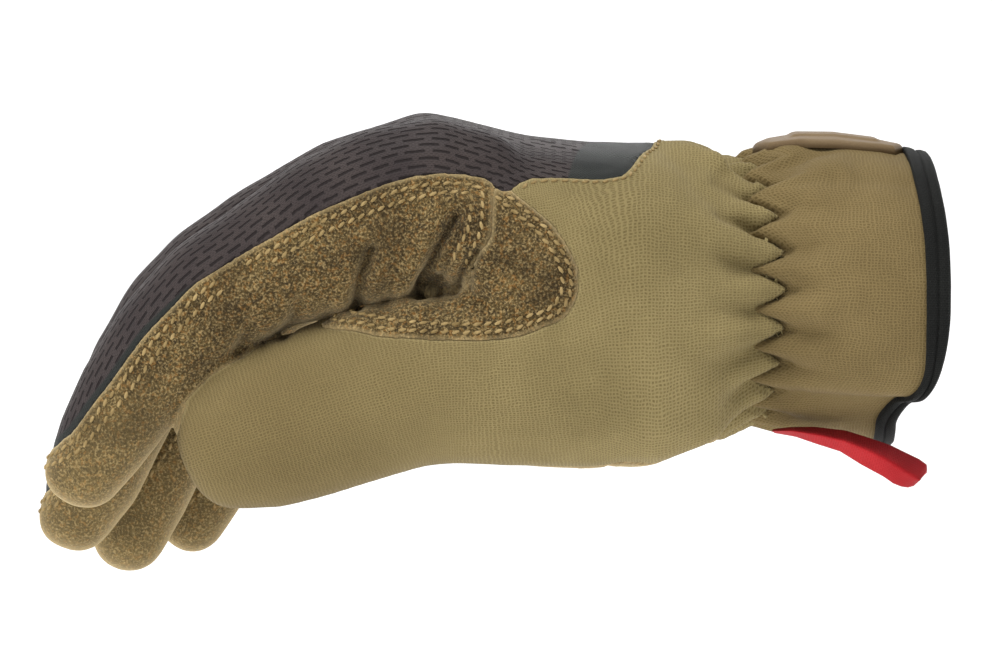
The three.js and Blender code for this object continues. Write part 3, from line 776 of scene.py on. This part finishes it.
def cuff_height(flat):
    """How far the cuff's folds and gathers stand out. They are flatter under the label."""
    facing = flat / np.hypot(flat[:, 1], flat[:, 2])[:, None]
    folds, _ = crease_height(flat, facing, WRIST_FOLDS, WRIST_FOLDS_FROM_Y)
    under_label = bump_at(np.degrees(np.arctan2(flat[:, 2], flat[:, 1])) - 90, 1.25 * LABEL["half"])
    return gathers(flat, 1) * (1 - 0.7 * under_label) + folds + uneven(flat, CUFF_WAVES)


def cuff_surface(run, turn):
    """The cuff, with its edge tucked under the hand's and its hem curled back at the dent."""
    angle = turn * 2 * math.pi
    share = np.maximum((run - TUCK["share"]) / (1 - TUCK["share"]), 0)
    under = np.clip(1 - run / TUCK["share"], 0, 1)
    flat = cuff_point(share, angle, 0)
    place = cuff_point(share, angle, cuff_height(flat) - TUCK["depth"] * np.sqrt(under))
    place[:, 0] += TOOTH * zigzag(angle) * (1 - share) ** 3 + SEAM_GAP - TUCK["reach"] * under
    curl = bump_at(np.degrees(angle) - TAPE_CURL["angle"], TAPE_CURL["width"])
    place[:, 0] -= TAPE_CURL["back"] * curl * smoothstep(share, 0.88, 1)
    return place


def cuff_mesh():
    bm = sheet(76, 440, cuff_surface, (CUFF_LONG, 2 * math.pi * WRIST_RADIUS))
    note(bm, "edge", np.full(len(bm.verts), 9.0))
    # The cuff gets no painted fold shade.
    note(bm, "painted_fold_shade", np.zeros(len(bm.verts)))
    return bm


def hem_surface(share, turn):
    """The hem's tape, folded over the rim."""
    along, out = zip(*TAPE)
    place = share * len(TAPE)
    keys = np.arange(len(TAPE) + 1)
    run = np.interp(place, keys, along + along[:1])
    height = np.interp(place, keys, out + out[:1])
    angle = turn * 2 * math.pi
    flat = cuff_point(np.ones(len(angle)), angle, 0)
    height = height + 0.12 * soft_noise(flat, 9, 31)
    curl = bump_at(np.degrees(angle) % 360 - TAPE_CURL["angle"], TAPE_CURL["width"])
    run = TAPE[0][0] + (run - TAPE[0][0]) * (1 - TAPE_CURL["narrower"] * curl)
    at_rim = cuff_point(np.minimum(1 + run / -SEAM_X, 1), angle, height)
    at_rim[:, 0] += np.maximum(run, 0) + 0.12 * soft_noise(flat, 5, 32)
    return at_rim


def hem_mesh():
    bm = sheet(len(TAPE) * 3, 400, hem_surface, (TAPE_WIDE, 2 * math.pi * WRIST_RADIUS))
    smooth(bm)
    return bm


def rounded_square(a, b, corner):
    """Shares of a square moved so that its corners are round."""
    p, q = 2 * a - 1, 2 * b - 1
    far = np.maximum(np.abs(p), np.abs(q))
    length = np.hypot(p, q) + 1e-9
    pull = 1 - corner * (1 - far / length) / (1 - 1 / math.sqrt(2)) * far
    return 0.5 + 0.5 * p * pull, 0.5 + 0.5 * q * pull


def label_surface(a, b):
    """The label as a plate that follows the cuff's back, with a plain raised bar."""
    p, q = rounded_square(a, b, LABEL["corner"])
    long, wide = LABEL_SIZE
    inset = np.minimum(np.minimum(a, 1 - a) * long, np.minimum(b, 1 - b) * wide)
    share = LABEL["start"] + (LABEL["end"] - LABEL["start"]) * p
    angle = np.radians(90 + LABEL["half"] * (1 - 2 * q))
    rim = np.sqrt(np.clip(1 - (1 - np.clip(inset / LABEL["rim"], 0, 1)) ** 2, 0, 1))
    start, end, half = (LABEL_BAR[key] for key in ("start", "end", "half"))
    bar = smoothstep(share, start, start + LABEL_BAR["rim"])
    bar = bar * (1 - smoothstep(share, end, end + LABEL_BAR["rim"]))
    bar = bar * (1 - smoothstep(np.abs(np.degrees(angle) - 90), half, half + LABEL_BAR["side_rim"]))
    return cuff_point(share, angle, LABEL["lift"] + LABEL["height"] * rim + LABEL_BAR["height"] * bar)


def label_mesh():
    return sheet(64, 64, label_surface, LABEL_SIZE)


def tab_surface(a, b):
    """The pull tab's webbing, folded lengthwise with its ridge towards the thumb's side."""
    place = b * (len(TAB) - 1)
    line = {
        name: np.interp(place, np.arange(len(TAB)), column) for name, column in zip(TAB_COLUMNS, zip(*TAB))
    }
    start = (line["ridge_x"], line["ridge_z"], 0)
    upper = (line["upper_x"], line["upper_z"], TAB_DEPTH)
    lower = (line["lower_x"], line["lower_z"], TAB_DEPTH - 1)
    corners = [
        start,
        upper,
        (upper[0], upper[1] - 0.6 * TAB_THICK, TAB_DEPTH + TAB_THICK),
        (start[0], start[1], 1.6 * TAB_THICK),
        (lower[0], lower[1] + 0.6 * TAB_THICK, TAB_DEPTH - 1 + TAB_THICK),
        lower,
        start,
    ]
    turn = np.clip(a, 0, 1) * (len(corners) - 1)
    low = np.minimum(turn.astype(int), len(corners) - 2)
    ring = np.array([[np.broadcast_to(value, a.shape) for value in corner] for corner in corners])
    every = np.arange(len(a))
    x, z, depth = (
        ring[low, axis, every] + (turn - low) * (ring[low + 1, axis, every] - ring[low, axis, every])
        for axis in range(3)
    )
    return np.stack([x, TAB_Y + depth + 0.12 * np.sin(b * 21), z], -1)


def tab_mesh():
    bm = sheet(48, 120, tab_surface, TAB_SIZE)
    rim = [e for e in bm.edges if e.is_boundary]
    bmesh.ops.holes_fill(bm, edges=rim, sides=0)
    ends = [f for f in bm.faces if len(f.verts) > 4]
    bmesh.ops.triangulate(bm, faces=ends)
    smooth(bm, 2)
    bmesh.ops.recalc_face_normals(bm, faces=bm.faces)
    return bm


# ---------------------------------------------------------------- stitches


def level_lines(bm, values, level):
    """Chains of points, with their normals, along the line where the values reach a level."""
    bm.verts.index_update()
    place = {}
    beside = {}
    for face in bm.faces:
        crossed = []
        for edge in face.edges:
            a, b = (v.index for v in edge.verts)
            fa, fb = values[a] - level, values[b] - level
            if fa * fb < 0:
                share = fa / (fa - fb)
                first, last = edge.verts
                point = first.co.lerp(last.co, share)
                place[edge.index] = (point, first.normal.lerp(last.normal, share).normalized())
                crossed.append(edge.index)
        if len(crossed) == 2:
            for one, other in (crossed, crossed[::-1]):
                beside.setdefault(one, []).append(other)
    chains, left = [], set(beside)
    while left:
        ends = [key for key in sorted(left) if sum(n in left for n in beside[key]) < 2]
        here = ends[0] if ends else min(left)
        chain = []
        while here is not None:
            left.discard(here)
            chain.append(place[here])
            here = next((n for n in beside[here] if n in left), None)
        chains.append(chain)
    return chains


def stitch_places(chain):
    """Even places for stitches along a chain: middle, way and normal."""
    points = np.array([p[:] for p, _ in chain])
    out = np.array([n[:] for _, n in chain])
    run = np.concatenate([[0], np.cumsum(np.linalg.norm(np.diff(points, axis=0), axis=1))])
    count = int(run[-1] / STITCH["pitch"])
    for i in range(count):
        at = (i + 0.5) * STITCH["pitch"]
        ends = [
            Vector([np.interp(at + end * STITCH["length"] / 2, run, points[:, axis]) for axis in range(3)])
            for end in (-1, 1)
        ]
        normal = Vector([np.interp(at, run, out[:, axis]) for axis in range(3)]).normalized()
        yield (ends[0] + ends[1]) / 2, (ends[1] - ends[0]).normalized(), normal


def add_stitch(bm, middle, way, normal, dice):
    """One stitch of twisted thread, a little askew, sunk at both ends."""
    turn = Matrix.Rotation(math.radians(STITCH["slant"] + dice.uniform(-5, 5)), 3, normal)
    way = turn @ way
    side = normal.cross(way)
    sizes = (STITCH["length"] * dice.uniform(0.92, 1.05), STITCH["wide"], STITCH["high"])
    columns = [axis * size / 2 for axis, size in zip((way, side, normal), sizes)]
    matrix = Matrix.Translation(middle + normal * STITCH["proud"]) @ Matrix(columns).transposed().to_4x4()
    bmesh.ops.create_uvsphere(bm, u_segments=6, v_segments=5, radius=1, matrix=matrix)


def in_slit(point):
    return point.x > SLIT["from_x"] and point.y < SLIT["near_y"] and point.z < SLIT["below_z"]


def stitch_meshes(panels):
    """The stitches of every row, by the piece that they make up."""
    dice = random.Random(5)
    pieces = {}
    for row in rows_of(ROW_COLUMNS, ROWS):
        panel = panels[row["on"]]
        panel.edges.index_update()
        panel.normal_update()
        seam = np.minimum.reduce([noted(panel, "to_" + other) for other in row["seam_with"]])
        inset = seam - noted(panel, "to_" + row["on"])
        bm = pieces.setdefault(row["piece"], bmesh.new())
        for chain in level_lines(panel, inset, row["inset"]):
            for middle, way, normal in stitch_places(chain):
                left_out = row["on"] == "palm_panel" and in_slit(middle)
                if row["from_x"] < middle.x < row["to_x"] and not left_out:
                    add_stitch(bm, middle, way, normal, dice)
    return pieces


# ---------------------------------------------------------------- materials


def node(tree, kind, inputs=(), **settings):
    """A shader node. A socket among its inputs is linked, and any other value is set."""
    made = tree.nodes.new(kind)
    for key, value in settings.items():
        setattr(made, key, value)
    for key, value in dict(inputs).items():
        if isinstance(value, bpy.types.NodeSocket):
            tree.links.new(value, made.inputs[key])
        else:
            made.inputs[key].default_value = value
    return made


def new_group(name, inputs, outputs):
    """A node group of named numbers: its tree, its inputs and its outputs' sockets."""
    tree = bpy.data.node_groups.new(name, "ShaderNodeTree")
    for socket, default in inputs.items():
        made = tree.interface.new_socket(socket, in_out="INPUT", socket_type="NodeSocketFloat")
        made.default_value = default
    for socket in outputs:
        tree.interface.new_socket(socket, in_out="OUTPUT", socket_type="NodeSocketFloat")
    return tree, tree.nodes.new("NodeGroupInput").outputs, tree.nodes.new("NodeGroupOutput").inputs


def use(tree, group, inputs):
    return node(tree, "ShaderNodeGroup", inputs, node_tree=group).outputs


def math_node(tree, operation, a, b):
    return node(tree, "ShaderNodeMath", {0: a, 1: b}, operation=operation).outputs[0]


def times(tree, a, b):
    return math_node(tree, "MULTIPLY", a, b)


def vector_node(tree, operation, inputs):
    return node(tree, "ShaderNodeVectorMath", inputs, operation=operation).outputs[0]


def attribute(tree, name, output="Fac"):
    """What the piece's mesh keeps under a name."""
    return node(tree, "ShaderNodeAttribute", attribute_name=name).outputs[output]


def mixed(tree, share, a, b):
    """Two colours mixed by a share."""
    return node(tree, "ShaderNodeMix", {0: share, 6: a, 7: b}, data_type="RGBA").outputs[2]


def ranged(tree, value, low, high, to_low=0.0, to_high=1.0):
    inputs = {"Value": value, "From Min": low, "From Max": high, "To Min": to_low, "To Max": to_high}
    return node(tree, "ShaderNodeMapRange", inputs).outputs[0]


def grain_group():
    """Blotches of two sizes: fine grain and slow change."""
    inputs = {"Grain Scale": 900.0, "Patch Scale": 90.0}
    tree, given, out = new_group("cloth_grain", inputs, ["Grain", "Patches"])
    place = node(tree, "ShaderNodeTexCoord").outputs["Object"]
    fine = {"Vector": place, "Scale": given["Grain Scale"], "Detail": 2.0, "Roughness": 0.6}
    slow = {"Vector": place, "Scale": given["Patch Scale"], "Detail": 3.0, "Roughness": 0.55}
    tree.links.new(ranged(tree, node(tree, "ShaderNodeTexNoise", fine).outputs[0], 0.32, 0.68), out["Grain"])
    tree.links.new(ranged(tree, node(tree, "ShaderNodeTexNoise", slow).outputs[0], 0.3, 0.7), out["Patches"])
    return tree


def rows_group(name, stagger):
    """Rows of short holes in the cloth, along and across its weave."""
    inputs = {"Length": 1.1, "Pitch": 0.65, "Rim": 0.2, "Wander": 0.1, "Soft": 0.6, "Squeeze": 1.0}
    tree, given, out = new_group(name, inputs, ["Holes", "Threads"])
    weave = attribute(tree, "weave", "Vector")
    drift = node(tree, "ShaderNodeTexNoise", {"Vector": weave, "Scale": 0.35, "Detail": 2.0}).outputs["Color"]
    centred = vector_node(tree, "SUBTRACT", {0: drift, 1: (0.5, 0.5, 0.5)})
    moved = vector_node(tree, "SCALE", {0: centred, "Scale": given["Wander"]})
    place = vector_node(tree, "ADD", {0: weave, 1: moved})
    squeeze = node(tree, "ShaderNodeCombineXYZ", {"X": given["Squeeze"], "Y": 1.0, "Z": 1.0}).outputs[0]
    shrink = 0.1
    brick = {
        "Vector": vector_node(tree, "MULTIPLY", {0: place, 1: squeeze}),
        "Scale": shrink,
        "Brick Width": times(tree, times(tree, given["Length"], given["Squeeze"]), shrink),
        "Row Height": times(tree, given["Pitch"], shrink),
        "Mortar Size": times(tree, given["Rim"], shrink),
        "Mortar Smooth": given["Soft"],
    }
    cells = node(tree, "ShaderNodeTexBrick", brick, offset=stagger, offset_frequency=2)
    tree.links.new(math_node(tree, "SUBTRACT", 1.0, cells.outputs["Fac"]), out["Holes"])
    thread = {"Vector": place, "Scale": 1.6, "Distortion": 2.0, "Detail": 1.0}
    threads = node(tree, "ShaderNodeTexWave", thread, bands_direction="DIAGONAL")
    tree.links.new(threads.outputs["Fac"], out["Threads"])
    return tree


def seam_group():
    """A mask that is strongest at a panel's edge."""
    tree, given, out = new_group("seam_edge", {"Width": 1.0}, ["Mask"])
    mask = ranged(tree, attribute(tree, "edge"), 0.0, given["Width"], 1.0, 0.0)
    tree.links.new(mask, out["Mask"])
    return tree


GRAIN, SEAM_EDGE = grain_group(), seam_group()
STAGGERED, EVEN = rows_group("staggered_rows", 0.5), rows_group("even_rows", 0.12)


def rgb(red, green, blue):
    """A colour from its display values, 0 to 255."""
    return (*(((c / 255 + 0.055) / 1.055) ** 2.4 for c in (red, green, blue)), 1)


def new_material(name, roughness, sheen=0.0):
    """A dull material: itself, its tree and its shader."""
    material = bpy.data.materials.new(name)
    material.use_nodes = True
    tree = material.node_tree
    shader = tree.nodes["Principled BSDF"]
    shader.inputs["Roughness"].default_value = roughness
    shader.inputs["Specular IOR Level"].default_value = 0.12
    shader.inputs["Sheen Weight"].default_value = sheen
    shader.inputs["Sheen Roughness"].default_value = 0.6
    return material, tree, shader


def finish_with(tree, shader, color, height, depth, roughness=None):
    """Gives the shader its colour and a bump of a depth in millimetres."""
    bump = node(tree, "ShaderNodeBump", {"Height": height, "Distance": depth * MM, "Strength": 1.0})
    tree.links.new(color, shader.inputs["Base Color"])
    tree.links.new(bump.outputs[0], shader.inputs["Normal"])
    if roughness is not None:
        tree.links.new(roughness, shader.inputs["Roughness"])


def knit_material(name, dark, light):
    """Tan knit with rows of small holes, with painted shade in its folds and towards the thumb's end."""
    material, tree, shader = new_material(name, 0.85, 0.03)
    holes = {"Length": 0.8, "Pitch": 0.61, "Rim": 0.19, "Wander": 1.1, "Soft": 0.55, "Squeeze": 0.82}
    rows = use(tree, EVEN, holes)
    grain = use(tree, GRAIN, {"Grain Scale": 1500.0, "Patch Scale": 45.0})
    edge = use(tree, SEAM_EDGE, {"Width": 0.7})
    base = mixed(tree, grain["Patches"], dark, light)
    base = mixed(tree, grain["Grain"], mixed(tree, 0.16, base, rgb(90, 75, 40)), base)
    weave = attribute(tree, "weave", "Vector")
    along = node(tree, "ShaderNodeSeparateXYZ", {0: weave}).outputs["X"]
    # Painted shade towards the thumb's end, where less light falls.
    base = mixed(tree, ranged(tree, along, 80, 150, 0.0, 0.7), base, rgb(104, 89, 56))
    dark_hole = times(tree, rows["Holes"], ranged(tree, grain["Grain"], 0, 1, 0.3, 0.66))
    color = mixed(tree, dark_hole, base, rgb(74, 60, 32))
    color = mixed(tree, times(tree, edge["Mask"], 0.35), color, rgb(176, 160, 115))
    # Painted shade in the folds, the slit and the pocket.
    color = mixed(tree, times(tree, attribute(tree, "painted_fold_shade"), 0.8), color, rgb(82, 68, 38))
    height = math_node(tree, "SUBTRACT", times(tree, grain["Grain"], 0.3), rows["Holes"])
    finish_with(tree, shader, color, height, 0.1, ranged(tree, rows["Holes"], 0, 1, 0.82, 0.95))
    return material


def back_material():
    """Dark mesh with staggered dashes, and plain slate cloth in its margin."""
    material, tree, shader = new_material("back_mesh_cloth", 0.6, 0.03)
    dashes = {"Length": 4.7, "Pitch": 2.15, "Rim": 0.86, "Wander": 0.5, "Soft": 0.34}
    specks = {"Length": 0.9, "Pitch": 0.55, "Rim": 0.18, "Wander": 0.3, "Soft": 0.6, "Squeeze": 0.7}
    rows, fine = use(tree, STAGGERED, dashes), use(tree, STAGGERED, specks)
    grain = use(tree, GRAIN, {"Grain Scale": 1300.0, "Patch Scale": 70.0})
    in_margin = ranged(tree, attribute(tree, "margin"), -0.25, 0.25)
    cloth = mixed(tree, grain["Patches"], rgb(48, 41, 41), rgb(62, 54, 52))
    cloth = mixed(tree, times(tree, fine["Holes"], 0.4), cloth, rgb(36, 30, 30))
    dashed = mixed(tree, times(tree, rows["Holes"], 0.8), cloth, rgb(26, 21, 21))
    slate = mixed(tree, grain["Patches"], rgb(29, 32, 30), rgb(41, 43, 40))
    slate = mixed(tree, times(tree, rows["Threads"], 0.3), slate, rgb(27, 29, 28))
    color = mixed(tree, in_margin, dashed, slate)
    dash_depth = times(tree, rows["Holes"], math_node(tree, "SUBTRACT", 1.0, in_margin))
    height = math_node(tree, "SUBTRACT", times(tree, fine["Holes"], -0.25), dash_depth)
    finish_with(tree, shader, color, height, 0.35, ranged(tree, dash_depth, 0, 1, 0.55, 0.9))
    return material


def suede_material():
    """Speckled suede, paler low down and at its seams, with painted shade in its folds and a painted
    highlight where it is seen at a slant.
    """
    material, tree, shader = new_material("speckled_suede", 0.95, 0.04)
    grain = use(tree, GRAIN, {"Grain Scale": 1900.0, "Patch Scale": 110.0})
    rust = use(tree, GRAIN, {"Grain Scale": 1000.0, "Patch Scale": 55.0})
    edge = use(tree, SEAM_EDGE, {"Width": 0.9})
    base = mixed(tree, grain["Patches"], rgb(61, 48, 25), rgb(92, 76, 44))
    base = mixed(tree, ranged(tree, rust["Grain"], 0.62, 0.95, 0, 0.75), base, rgb(124, 88, 42))
    base = mixed(tree, ranged(tree, rust["Grain"], 0.0, 0.36, 0.7, 0.0), base, rgb(44, 37, 26))
    color = mixed(tree, ranged(tree, grain["Grain"], 0.5, 1.0, 0.0, 0.65), base, rgb(164, 142, 98))
    color = mixed(tree, ranged(tree, grain["Grain"], 0.0, 0.42, 0.75, 0.0), color, rgb(32, 24, 11))
    color = mixed(tree, times(tree, edge["Mask"], 0.55), color, rgb(164, 144, 102))
    color = mixed(tree, ranged(tree, rust["Patches"], 0.1, 0.5, 0.38, 0.0), color, rgb(48, 37, 18))
    place = node(tree, "ShaderNodeTexCoord").outputs["Object"]
    upwards = node(tree, "ShaderNodeSeparateXYZ", {0: place}).outputs["Z"]
    color = mixed(tree, ranged(tree, upwards, -0.012, -0.06, 0.0, 0.24), color, rgb(164, 144, 98))
    # Painted shade in the folds, the slit and the pocket.
    painted_fold_shade = attribute(tree, "painted_fold_shade")
    color = mixed(tree, times(tree, painted_fold_shade, 0.85), color, rgb(24, 18, 8))
    # Painted highlight: a paler colour where the suede is seen at a slant, none where fold shade is painted.
    facing = node(tree, "ShaderNodeLayerWeight", {"Blend": 0.5}).outputs["Facing"]
    painted_nap_highlight = times(tree, math_node(tree, "POWER", facing, 2.6), 0.9)
    painted_nap_highlight = times(tree, painted_nap_highlight, math_node(tree, "SUBTRACT", 1.0, painted_fold_shade))
    color = mixed(tree, painted_nap_highlight, color, rgb(186, 166, 122))
    finish_with(tree, shader, color, grain["Grain"], 0.22)
    return material


def tape_material():
    material, tree, shader = new_material("hem_tape", 0.75, 0.02)
    weave = use(tree, STAGGERED, {"Length": 0.8, "Pitch": 0.5, "Rim": 0.12, "Wander": 0.1, "Soft": 0.8})
    grain = use(tree, GRAIN, {"Grain Scale": 1500.0, "Patch Scale": 60.0})
    base = mixed(tree, grain["Patches"], rgb(15, 16, 14), rgb(25, 26, 23))
    color = mixed(tree, times(tree, weave["Holes"], 0.6), base, rgb(7, 7, 7))
    finish_with(tree, shader, color, times(tree, weave["Holes"], -1.0), 0.12)
    return material


def label_material():
    material, tree, shader = new_material("label_rubber", 0.5)
    grain = use(tree, GRAIN, {"Grain Scale": 1800.0, "Patch Scale": 80.0})
    color = mixed(tree, grain["Patches"], rgb(100, 82, 58), rgb(114, 96, 71))
    color = mixed(tree, times(tree, grain["Grain"], 0.15), color, rgb(70, 55, 36))
    finish_with(tree, shader, color, grain["Grain"], 0.03, ranged(tree, grain["Patches"], 0, 1, 0.45, 0.6))
    return material


def webbing_material():
    material, tree, shader = new_material("tab_webbing", 0.75, 0.02)
    weave = use(tree, STAGGERED, {"Length": 0.9, "Pitch": 0.45, "Rim": 0.1, "Wander": 0.1, "Soft": 0.9})
    grain = use(tree, GRAIN, {"Grain Scale": 1500.0, "Patch Scale": 120.0})
    base = mixed(tree, grain["Patches"], rgb(156, 20, 27), rgb(172, 34, 39))
    color = mixed(tree, times(tree, weave["Holes"], 0.3), base, rgb(118, 10, 16))
    finish_with(tree, shader, color, times(tree, weave["Holes"], -1.0), 0.08)
    return material


def thread_material():
    material, tree, shader = new_material("tan_thread", 0.6, 0.03)
    grain = use(tree, GRAIN, {"Grain Scale": 2400.0, "Patch Scale": 300.0})
    color = mixed(tree, grain["Patches"], rgb(108, 89, 52), rgb(158, 136, 92))
    finish_with(tree, shader, color, grain["Grain"], 0.06)
    return material


def floor_material():
    material, _, shader = new_material("pale_floor", 0.9)
    shader.inputs["Emission Strength"].default_value = 0.5
    shader.inputs["Emission Color"].default_value = (1, 1, 1, 1)
    shader.inputs["Base Color"].default_value = (0.9, 0.9, 0.9, 1)
    return material


# ---------------------------------------------------------------- the glove

knit = knit_material("tan_knit", rgb(122, 109, 72), rgb(139, 125, 85))
# The cuff's knit is the hand's knit painted darker, as painted shade.
shaded_cuff_knit = knit_material("shaded_cuff_knit", rgb(108, 92, 59), rgb(122, 105, 69))
suede, thread = suede_material(), thread_material()

skin = hand_skin()
shape_skin(skin)
panels = cut_panels(skin)
back_weave(panels["back_panel"])
side_weave(panels["side_panel"])
for name, bm in stitch_meshes(panels).items():
    finished(bm, name, thread)
finished(panels["back_panel"], "back_mesh_panel", back_material(), ["back_panel"], WALL)
finished(panels["palm_panel"], "suede_palm", suede, ["palm_panel"], WALL)
finished(panels["thumb_front"], "suede_thumb_front", suede, ["thumb_front"], WALL)
finished(panels["side_panel"], "knit_side", knit, ["side_panel"], WALL)
finished(panels["thumb_patch"], "suede_thumb_patch", suede, ["thumb_patch"], WALL)
finished(cuff_mesh(), "knit_cuff", shaded_cuff_knit, ["cuff"], WALL)
finished(hem_mesh(), "hem_tape", tape_material(), ["hem_binding"])
finished(label_mesh(), "rubber_label", label_material(), ["cuff_label"], LABEL_WALL)
finished(tab_mesh(), "webbing_tab", webbing_material(), ["pull_tab"])

# ---------------------------------------------------------------- studio

# In metres. The floor is flat, then bends up with a radius of 1 and runs on upright.
FLOOR = {"front": -3, "flat": 4.5, "long": 7, "half_width": 6, "z": -0.13}
WORLD_LIGHT = 0.38
LAMP_COLUMNS = ["name", "place", "size", "energy"]
LAMPS = [
    ["key", (-0.05, -0.5, 1.15), 0.7, 19],
    ["fill", (-1.0, -0.45, -0.05), 0.6, 8],
    ["rim", (-0.1, 0.8, 0.9), 0.8, 5],
]
LIT = (-0.1, 0, 0)
CAMERA = {"place": (-0.0987, -1.5, -0.0092), "lens": 236.7, "film": 36}


def floor_mesh():
    """A floor that curves up behind the glove."""
    bm = bmesh.new()
    bmesh.ops.create_grid(bm, x_segments=2, y_segments=60, size=1)
    for v in bm.verts:
        run = (v.co.y + 1) * FLOOR["long"] / 2
        bend = max(0, min(run - FLOOR["flat"], math.pi / 2))
        rise = max(0, run - FLOOR["flat"] - math.pi / 2)
        back = FLOOR["front"] + min(run, FLOOR["flat"]) + math.sin(bend)
        v.co = (v.co.x * FLOOR["half_width"], back, FLOOR["z"] + 1 - math.cos(bend) + rise)
    return bm


def studio():
    """A pale floor and soft lights."""
    floor = object_from(floor_mesh(), "floor")
    for face in floor.data.polygons:
        face.use_smooth = True
    floor.data.materials.append(floor_material())
    world = bpy.data.worlds.new("studio")
    bpy.context.scene.world = world
    world.use_nodes = True
    world.node_tree.nodes["Background"].inputs["Color"].default_value = (1, 1, 1, 1)
    world.node_tree.nodes["Background"].inputs["Strength"].default_value = WORLD_LIGHT
    for row in rows_of(LAMP_COLUMNS, LAMPS):
        light = bpy.data.lights.new(row["name"], "AREA")
        light.energy = row["energy"]
        light.size = row["size"]
        lamp = bpy.data.objects.new(row["name"], light)
        lamp.location = row["place"]
        lamp.rotation_mode = "QUATERNION"
        lamp.rotation_quaternion = (Vector(row["place"]) - Vector(LIT)).to_track_quat("Z", "Y")
        bpy.context.scene.collection.objects.link(lamp)


def camera():
    data = bpy.data.cameras.new("camera")
    data.lens = CAMERA["lens"]
    data.sensor_width = CAMERA["film"]
    obj = bpy.data.objects.new("camera", data)
    obj.location = CAMERA["place"]
    obj.rotation_euler = (math.pi / 2, 0, 0)
    bpy.context.scene.collection.objects.link(obj)
    bpy.context.scene.camera = obj


studio()
camera()
bpy.context.scene.view_settings.view_transform = "Standard"
